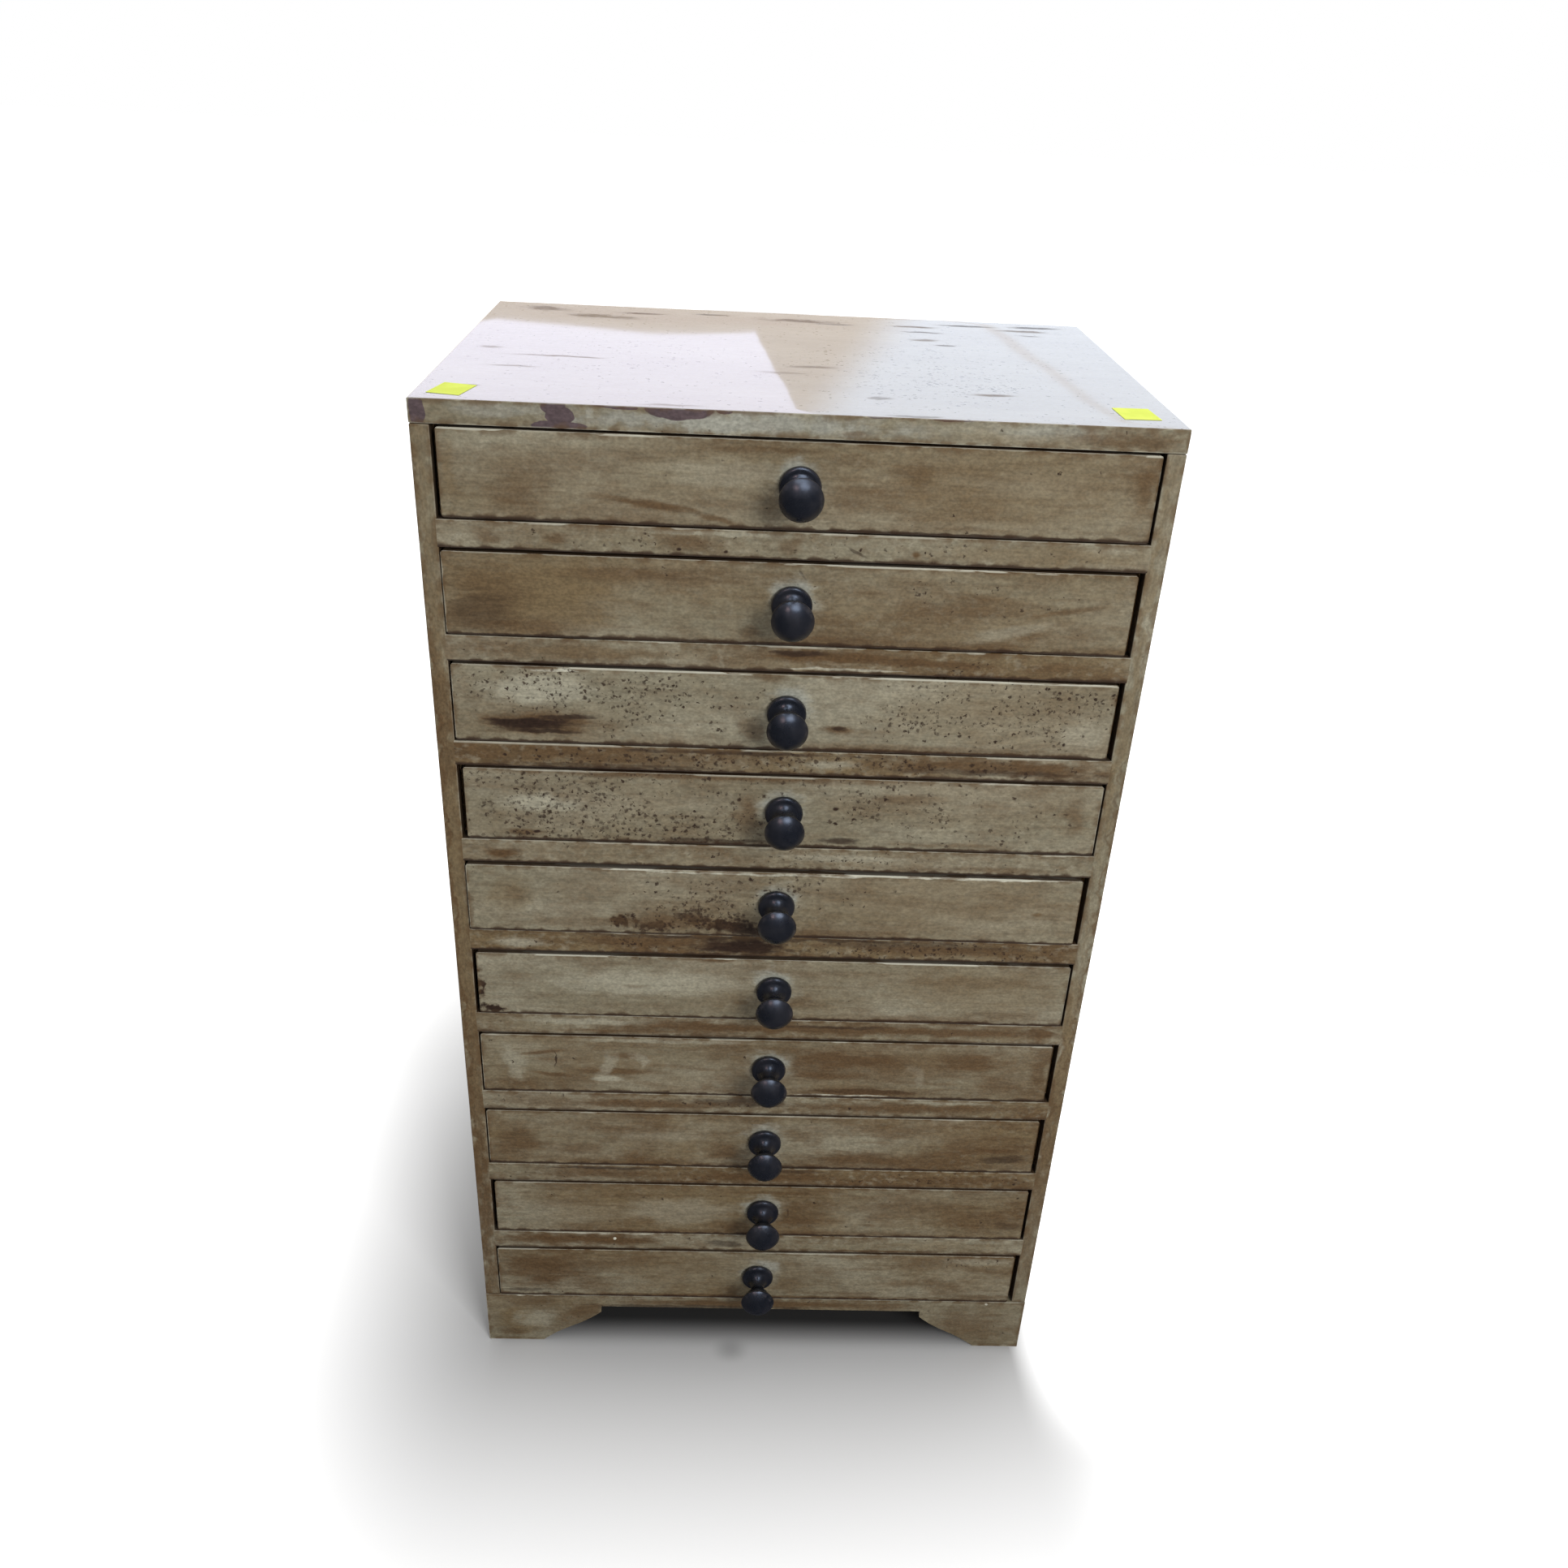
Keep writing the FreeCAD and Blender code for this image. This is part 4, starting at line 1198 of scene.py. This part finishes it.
def knob_profile():
    """Radius and distance from the drawer along the knob's outline."""
    points = []
    for index, (start, end) in enumerate(zip(KNOB_CORNERS, KNOB_CORNERS[1:])):
        start = Vector(start)
        end = Vector(end)
        chord = end - start
        outwards = Vector((chord.y, -chord.x)).normalized()
        bow = KNOB_BOWS.get(index, 0)
        steps = ARC_STEPS if bow else 2
        for step in range(steps):
            share = step / steps
            points.append(start + chord * share + outwards * bow * 4 * share * (1 - share))
    return in_mm(points)


def lathe(name, middle, outline, sides=48):
    """Turn an outline of radius and distance about an axis that runs forwards from middle."""
    bpy.ops.object.select_all(action="DESELECT")
    first = outline[0]
    bpy.ops.mesh.primitive_circle_add(
        vertices=sides,
        radius=first[0],
        fill_type="NGON",
        location=middle + Vector((0, -first[1], 0)),
        rotation=(math.pi / 2, 0, 0),
    )
    piece = just_made(name)
    bpy.ops.object.transform_apply(location=True, rotation=True, scale=True)
    bpy.ops.object.mode_set(mode="EDIT")
    bpy.ops.mesh.select_mode(type="FACE")
    bpy.ops.mesh.select_all(action="SELECT")
    for before, after in zip(outline, outline[1:]):
        bpy.ops.mesh.extrude_region_move(TRANSFORM_OT_translate={"value": (0, before[1] - after[1], 0)})
        if abs(after[0] - before[0]) > 1e-7:
            ratio = after[0] / before[0]
            centre = middle + Vector((0, -after[1], 0))
            bpy.ops.transform.resize(value=(ratio, 1, ratio), center_override=centre)
    bpy.ops.mesh.poke()
    bpy.ops.mesh.select_all(action="SELECT")
    bpy.ops.mesh.normals_make_consistent(inside=False)
    close_edit()
    return piece


def face_backwards(piece):
    """Turn a lathed piece round, to stand on a back face."""
    open_with(piece, "FACE", lambda face: True)
    bpy.ops.transform.mirror(constraint_axis=(False, True, False), center_override=(0, 0, 0))
    bpy.ops.mesh.normals_make_consistent(inside=False)
    close_edit()


def in_mm(outline):
    """An outline in metres from its numbers in millimetres."""
    return [(radius * MM, out * MM) for radius, out in outline]


def copy_to(piece, name, shift):
    """A copy with its own mesh, moved by a vector."""
    made = bpy.data.objects.new(name, piece.data.copy())
    made.data.name = name
    made.data.transform(Matrix.Translation(shift))
    bpy.context.scene.collection.objects.link(made)
    return made


def knobs(finish, steel):
    """The ten turned knobs and the screws that hold them."""
    pattern = lathe("knob_pattern", Vector(ZERO), knob_profile())
    modify(pattern, "SUBSURF", levels=1, render_levels=1)
    wear = pattern.data.attributes.new("edge_wear", "FLOAT", "POINT")
    for index, vertex in enumerate(pattern.data.vertices):
        out = -vertex.co.y
        proud = math.hypot(vertex.co.x, vertex.co.z) > RUBBED_REACH
        outer = out < RIM_END or HEAD_START < out < HEAD_END
        wear.data[index].value = RUBBED if proud and outer else UNRUBBED
    finish_faces(pattern, finish)
    screw = lathe("screw_pattern", Vector(ZERO), in_mm(SCREW_CORNERS), sides=24)
    face_backwards(screw)
    cut(screw, -SLOT_HALF + Vector((0, SLOT_FLOOR, 0)), SLOT_HALF + Vector((0, SLOT_TOP, 0)))
    finish_faces(screw, steel)
    for number in range(1, DRAWERS + 1):
        stem = body_name(number)
        low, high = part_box(stem + "_front")
        middle = (low + high) / 2
        knob = copy_to(pattern, stem + "_turned_knob", Vector((middle.x, low.y + KNOB_SINK, middle.z)))
        settle(knob, stem, "black_knob", stem + "_knob")
        fixing = copy_to(screw, stem + "_screw", Vector((middle.x, high.y - SCREW_SINK, middle.z)))
        settle(fixing, stem, "screw_steel")
    bpy.data.objects.remove(pattern)
    bpy.data.objects.remove(screw)


# Each note: its middle from the cabinet's middle line and from the lid's front edge, its size and its turn
NOTE_PLACES = {
    "left_note": (-272, 33, 27, 36, -12),
    "right_note": (267, 43, 30, 37, 3),
}


def notes(paper):
    """Two blank notes stuck on the lid, one near each front corner."""
    top_low, top_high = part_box("top_board")
    for name, (across, back, width, depth, turn) in NOTE_PLACES.items():
        bpy.ops.object.select_all(action="DESELECT")
        middle = Vector((across * MM, top_low.y + back * MM, top_high.z - NOTE_SINK))
        bpy.ops.mesh.primitive_grid_add(x_subdivisions=14, y_subdivisions=14, size=1, location=middle)
        piece = just_made(name)
        piece.scale = (width * MM, depth * MM, 1)
        piece.rotation_euler = (0, 0, math.radians(turn))
        bpy.ops.object.transform_apply(location=True, rotation=True, scale=True)
        modify(piece, "SOLIDIFY", thickness=0.12 * MM, offset=0)
        wander(piece, 0.25 * MM, 30 * MM, level=0.6, direction="Z")
        finish_faces(piece, paper)
        settle(piece, "carcass", "paper_note")


PIN_ROWS = 8
PIN_COLUMNS = 5
PIN_INSET = 4 * MM
PIN_END = 12 * MM


def back_pins(steel):
    """The pins that hold the back panel, along its rim."""
    low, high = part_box("back_panel")
    pattern = lathe("pin_pattern", Vector(ZERO), in_mm(PIN_CORNERS), sides=20)
    face_backwards(pattern)
    spots = []
    for row in range(PIN_ROWS):
        height = low.z + PIN_END + (high.z - low.z - 2 * PIN_END) * row / (PIN_ROWS - 1)
        spots.append((low.x + PIN_INSET, height))
        spots.append((high.x - PIN_INSET, height))
    for column in range(1, PIN_COLUMNS):
        across = low.x + (high.x - low.x) * column / PIN_COLUMNS
        spots.append((across, high.z - PIN_INSET))
        spots.append((across, low.z + PIN_INSET))
    copies = [
        copy_to(pattern, f"pin_{index}", Vector((across, high.y, height)))
        for index, (across, height) in enumerate(spots)
    ]
    bpy.data.objects.remove(pattern)
    pick(*copies)
    bpy.ops.object.join()
    piece = copies[0]
    piece.name = "back_pins"
    finish_faces(piece, steel)
    settle(piece, "carcass", "screw_steel")


def dress_node(node, finish):
    """Give a carried-over piece its material."""
    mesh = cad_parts[node].data
    mesh.materials.clear()
    mesh.materials.append(finish)


BOTTOM_SEED = 30
TRAY_BACK_WALL = 11 * MM


def build():
    """Every piece of the cabinet."""
    tray_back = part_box("drawer_01_tray")[1].y - TRAY_BACK_WALL
    runner_wood = bare_wood("runner_wood", WOOD_PALE, WOOD_DARK, 3)
    cross_wood = bare_wood("cross_wood", WOOD_PALE, WOOD_DARK, 5, grain="X")
    upright_wood = bare_wood("upright_wood", WOOD_PALE, WOOD_DARK, 7, grain="Z")
    plywood = bare_wood("plywood", PLY_PALE, PLY_DARK, 11, grain="Z", rings=14)
    knob_finish = black_knob()
    steel = screw_steel()
    for number, rows in enumerate(DRAWER_MARKS, 1):
        stem = body_name(number)
        drawer_front(number, painted_marks(rows + KNOB_HALO_AND_HIGHLIGHT), cross_wood)
        tray_wood = bare_wood(stem + "_tray_wood", WOOD_PALE, WOOD_DARK, number, turn_at=tray_back)
        dress_node(stem + "_tray", tray_wood)
        seed = BOTTOM_SEED + number
        bottom_wood = bare_wood(stem + "_bottom_wood", PLY_PALE, PLY_DARK, seed, grain="X", rings=10)
        dress_node(stem + "_bottom", bottom_wood)
    for number, rows in enumerate(RAIL_MARKS, 1):
        rail(number, painted_marks(rows), cross_wood)
    side_panel(-1, 50, 0.6, painted_marks(LEFT_MARKS), upright_wood)
    side_panel(1, 51, 0.3, painted_marks(RIGHT_MARKS), upright_wood)
    top_board(cross_wood)
    plinth_board("plinth_front", 60, painted_marks(FOOT_MARKS))
    for seed, node in enumerate(("plinth_left", "plinth_right", "plinth_back"), 61):
        plinth_board(node, seed)
    for node in ("left_runners", "right_runners"):
        dress_node(node, runner_wood)
    dress_node("bottom_board", cross_wood)
    dress_node("back_panel", plywood)
    knobs(knob_finish, steel)
    notes(paper_note())
    back_pins(steel)


# Floor, surroundings and light
FLOOR_SIZE = 40
# The floor's colour: a painted shadow beneath the cabinet and near it, plain white further off.
FLOOR_UNDER = (0.03, 0.03, 0.03, 1)
FLOOR_NEAR = (0.45, 0.45, 0.45, 1)
FLOOR_FAR = (0.8, 0.8, 0.8, 1)

# The floor's painted shade fades to white with the distance from a foot that lies a little inside the
# cabinet's own
LEFT_INSET = 0.02
RIGHT_INSET = 0.01
FRONT_INSET = 0.06
LEFT_RISE = 1.1
RIGHT_RISE = 14
RIGHT_RISE_FRONT = -11
RIGHT_RISE_BACK = -8
SHADE_RISE = 2.1
SHADE_RISE_FAR = 4.0
FRONT_FADE = (-0.02, 0.16)
BACK_FADE = (0.0, 0.15)
SHADE_FADE = (0.25, 0.7)
UNDER_FADE = (-0.012, 0.035)
UNDER_SIDE = 0.012

# The painted shadow below the lowest knob: a soft dark spot, placed from the middle of the plinth's foot
KNOB_SHADOW_PLACE = (-0.028, -0.01)
KNOB_SHADOW_HALF = (0.02, 0.016, 1)
KNOB_SHADOW_DEPTH = 0.35


def seen_directly(tree):
    """1 for what the eye, a mirror or glass sees, and 0 for light on its way to a surface."""
    path = add(tree, "LightPath")
    mirrored = calc("MAXIMUM", path["Is Glossy Ray"], path["Is Transmission Ray"])
    return calc("MAXIMUM", path["Is Camera Ray"], mirrored)


def floor():
    """A white floor that keeps the cabinet's real shadow and fades into the white behind it; its colour
    carries a painted shadow near the cabinet, beneath it and below the lowest knob.
    """
    bpy.ops.object.select_all(action="DESELECT")
    bpy.ops.mesh.primitive_plane_add(size=FLOOR_SIZE)
    ground = just_made("floor")
    made = bpy.data.materials.new("floor")
    tree = empty_tree(made)
    place = add(tree, "TexCoord")["Object"]
    spot = parts(place)
    foot_low, foot_high = cad_box
    left = calc("MAXIMUM", foot_low.x + LEFT_INSET - spot["X"], 0)
    right = calc("MAXIMUM", spot["X"] - (foot_high.x - RIGHT_INSET), 0)
    front = calc("MAXIMUM", foot_low.y + FRONT_INSET - spot["Y"], 0)
    back = calc("MAXIMUM", spot["Y"] - foot_high.y, 0)
    right_rise = fade(front, *FRONT_FADE).scaled(RIGHT_RISE_FRONT, RIGHT_RISE)
    right_rise = fade(back, *BACK_FADE).scaled(RIGHT_RISE_BACK, right_rise)
    beside = left * LEFT_RISE + right * right_rise
    away = calc("LENGTH", add(tree, "CombineXYZ", {0: beside, 1: front + back})[0])
    lift = calc("MINIMUM", (left * left).scaled(SHADE_RISE_FAR, away * SHADE_RISE), 1)
    shade = layer(fade(away, *SHADE_FADE), FLOOR_NEAR, FLOOR_FAR)
    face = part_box("plinth_front")[0].y
    under = fade(spot["Y"], *(face + each for each in UNDER_FADE))
    beneath = under * fade(beside, UNDER_SIDE, 0)
    shade = layer(beneath, shade, FLOOR_UNDER)
    middle = (KNOB_SHADOW_PLACE[0], face + KNOB_SHADOW_PLACE[1], 0)
    painted_knob_shadow = use(PATCH, Position=place, Middle=middle, Half=KNOB_SHADOW_HALF, Softness=0.95)
    shade = layer(painted_knob_shadow, shade, FLOOR_UNDER, KNOB_SHADOW_DEPTH)
    matt = add(tree, "BsdfDiffuse", {"Color": shade})
    glow = add(tree, "Emission", {"Strength": seen_directly(tree) * lift})
    both = add(tree, "AddShader", {0: matt[0], 1: glow[0]})
    add(tree, "OutputMaterial", {"Surface": both[0]})
    ground.data.materials.append(made)


WORLD_LEVEL = 0.5


def surroundings():
    """A white world that lights softly."""
    world = bpy.data.worlds.new("studio")
    bpy.context.scene.world = world
    tree = empty_tree(world)
    strength = seen_directly(tree).scaled(1 - WORLD_LEVEL, WORLD_LEVEL)
    back = add(tree, "Background", {"Color": (1, 1, 1, 1), "Strength": strength})
    add(tree, "OutputWorld", {"Surface": back[0]})


# Each lamp: where it is, what it is aimed at, its size and its power
LAMPS = {
    "key": ((1.35, -2.8, 2.25), (0, -0.2, 0.6), 1.2, 84),
    "overhead": ((0.4, 0.6, 2.7), (0, 0, 0.8), 1.6, 24),
}


def lamp(name, place, aim, size, power):
    """A soft square lamp."""
    light = bpy.data.lights.new(name, "AREA")
    light.shape = "SQUARE"
    light.size = size
    light.energy = power
    made = bpy.data.objects.new(name, light)
    made.visible_glossy = False
    made.location = place
    made.rotation_euler = (Vector(aim) - Vector(place)).to_track_quat("-Z", "Y").to_euler()
    bpy.context.scene.collection.objects.link(made)


ROOM_LOW = Vector((-3.5, -4.0, 0.002))
ROOM_HIGH = Vector((3.5, 2.5, 4.5))
ROOM_DARK = (0.05, 0.05, 0.06, 1)
ROOM_LIGHT = (0.26, 0.27, 0.33, 1)
WALL = (0.84, 0.69, 0.53, 1)
WALL_RIGHT = (1.22, 1.32, 1.48, 1)
WALL_LINE = (1.04, 1.02, 1.06, 1)
WINDOW = (1.56, 1.52, 1.74, 1)

# Each light overhead: its middle, half its size and its tone
CEILING_LIGHTS = (
    ((0.9, -1.6, 4.5), (1.6, 0.9, 0.9), (5.0, 6.0, 8.0, 1)),
    ((-1.7, -1.9, 4.5), (0.6, 0.6, 0.9), (8.0, 6.0, 6.4, 1)),
    ((0.0, -0.1, 4.5), (1.8, 0.6, 0.9), (3.4, 4.2, 5.6, 1)),
)

# Edges on the wall behind: how far each leans for its height, and where it meets the floor's height
WINDOW_EDGE = (0.62, -0.945)
WINDOW_SILL = (-0.05, 1.50)
WINDOW_MIDDLE = -0.3
WINDOW_BLUR = 3 * MM
SILL_BLUR = 4 * MM
GLOW_LEAN = 0.68
GLOW_FADE = (1.22, 1.42)
LINE_LEAN = -1.715
LINE_FOOT = -1.885
LINE_FADE = (0.03, 0.008)
ROOM_FADE = (1.5, 4.4)
WALL_SKIN = 0.05


def mirrored_room():
    """What the varnish and the knobs mirror: a dim room, a warm wall with a window, and lights overhead."""
    room = block("mirrored_room", ROOM_LOW, ROOM_HIGH)
    made = bpy.data.materials.new("mirrored_room")
    tree = empty_tree(made)
    spot = add(tree, "TexCoord")["Object"]
    place = parts(spot)
    across = place["X"]
    height = place["Z"]
    left_of_edge = fade(across - height.scaled(*WINDOW_EDGE), WINDOW_BLUR, -WINDOW_BLUR)
    sill = calc("ABSOLUTE", across - WINDOW_MIDDLE).scaled(*WINDOW_SILL)
    above_sill = fade(height - sill, -SILL_BLUR, SILL_BLUR)
    wall = layer(fade(height.scaled(GLOW_LEAN, across), *GLOW_FADE), WALL, WALL_RIGHT)
    from_line = calc("ABSOLUTE", height.scaled(LINE_LEAN, across) - LINE_FOOT)
    wall = layer(fade(from_line, *LINE_FADE), wall, WALL_LINE)
    wall = layer(left_of_edge * above_sill, wall, WINDOW)
    tint = layer(fade(height, *ROOM_FADE), ROOM_DARK, ROOM_LIGHT)
    for middle, half, tone in CEILING_LIGHTS:
        lit = use(PATCH, Position=spot, Middle=middle, Half=half, Softness=0.4)
        tint = layer(lit, tint, tone)
    tint = layer(calc("GREATER_THAN", place["Y"], ROOM_HIGH.y - WALL_SKIN), tint, wall)
    mirrored = add(tree, "LightPath")["Is Glossy Ray"]
    glow = add(tree, "Emission", {"Color": tint, "Strength": mirrored})
    add(tree, "OutputMaterial", {"Surface": glow[0]})
    room.data.materials.append(made)
    for way in ("camera", "diffuse", "shadow", "transmission"):
        setattr(room, "visible_" + way, False)


add_camera()
build()
floor()
surroundings()
mirrored_room()
for lamp_name, values in LAMPS.items():
    lamp(lamp_name, *values)
bpy.context.scene.view_settings.view_transform = "Standard"
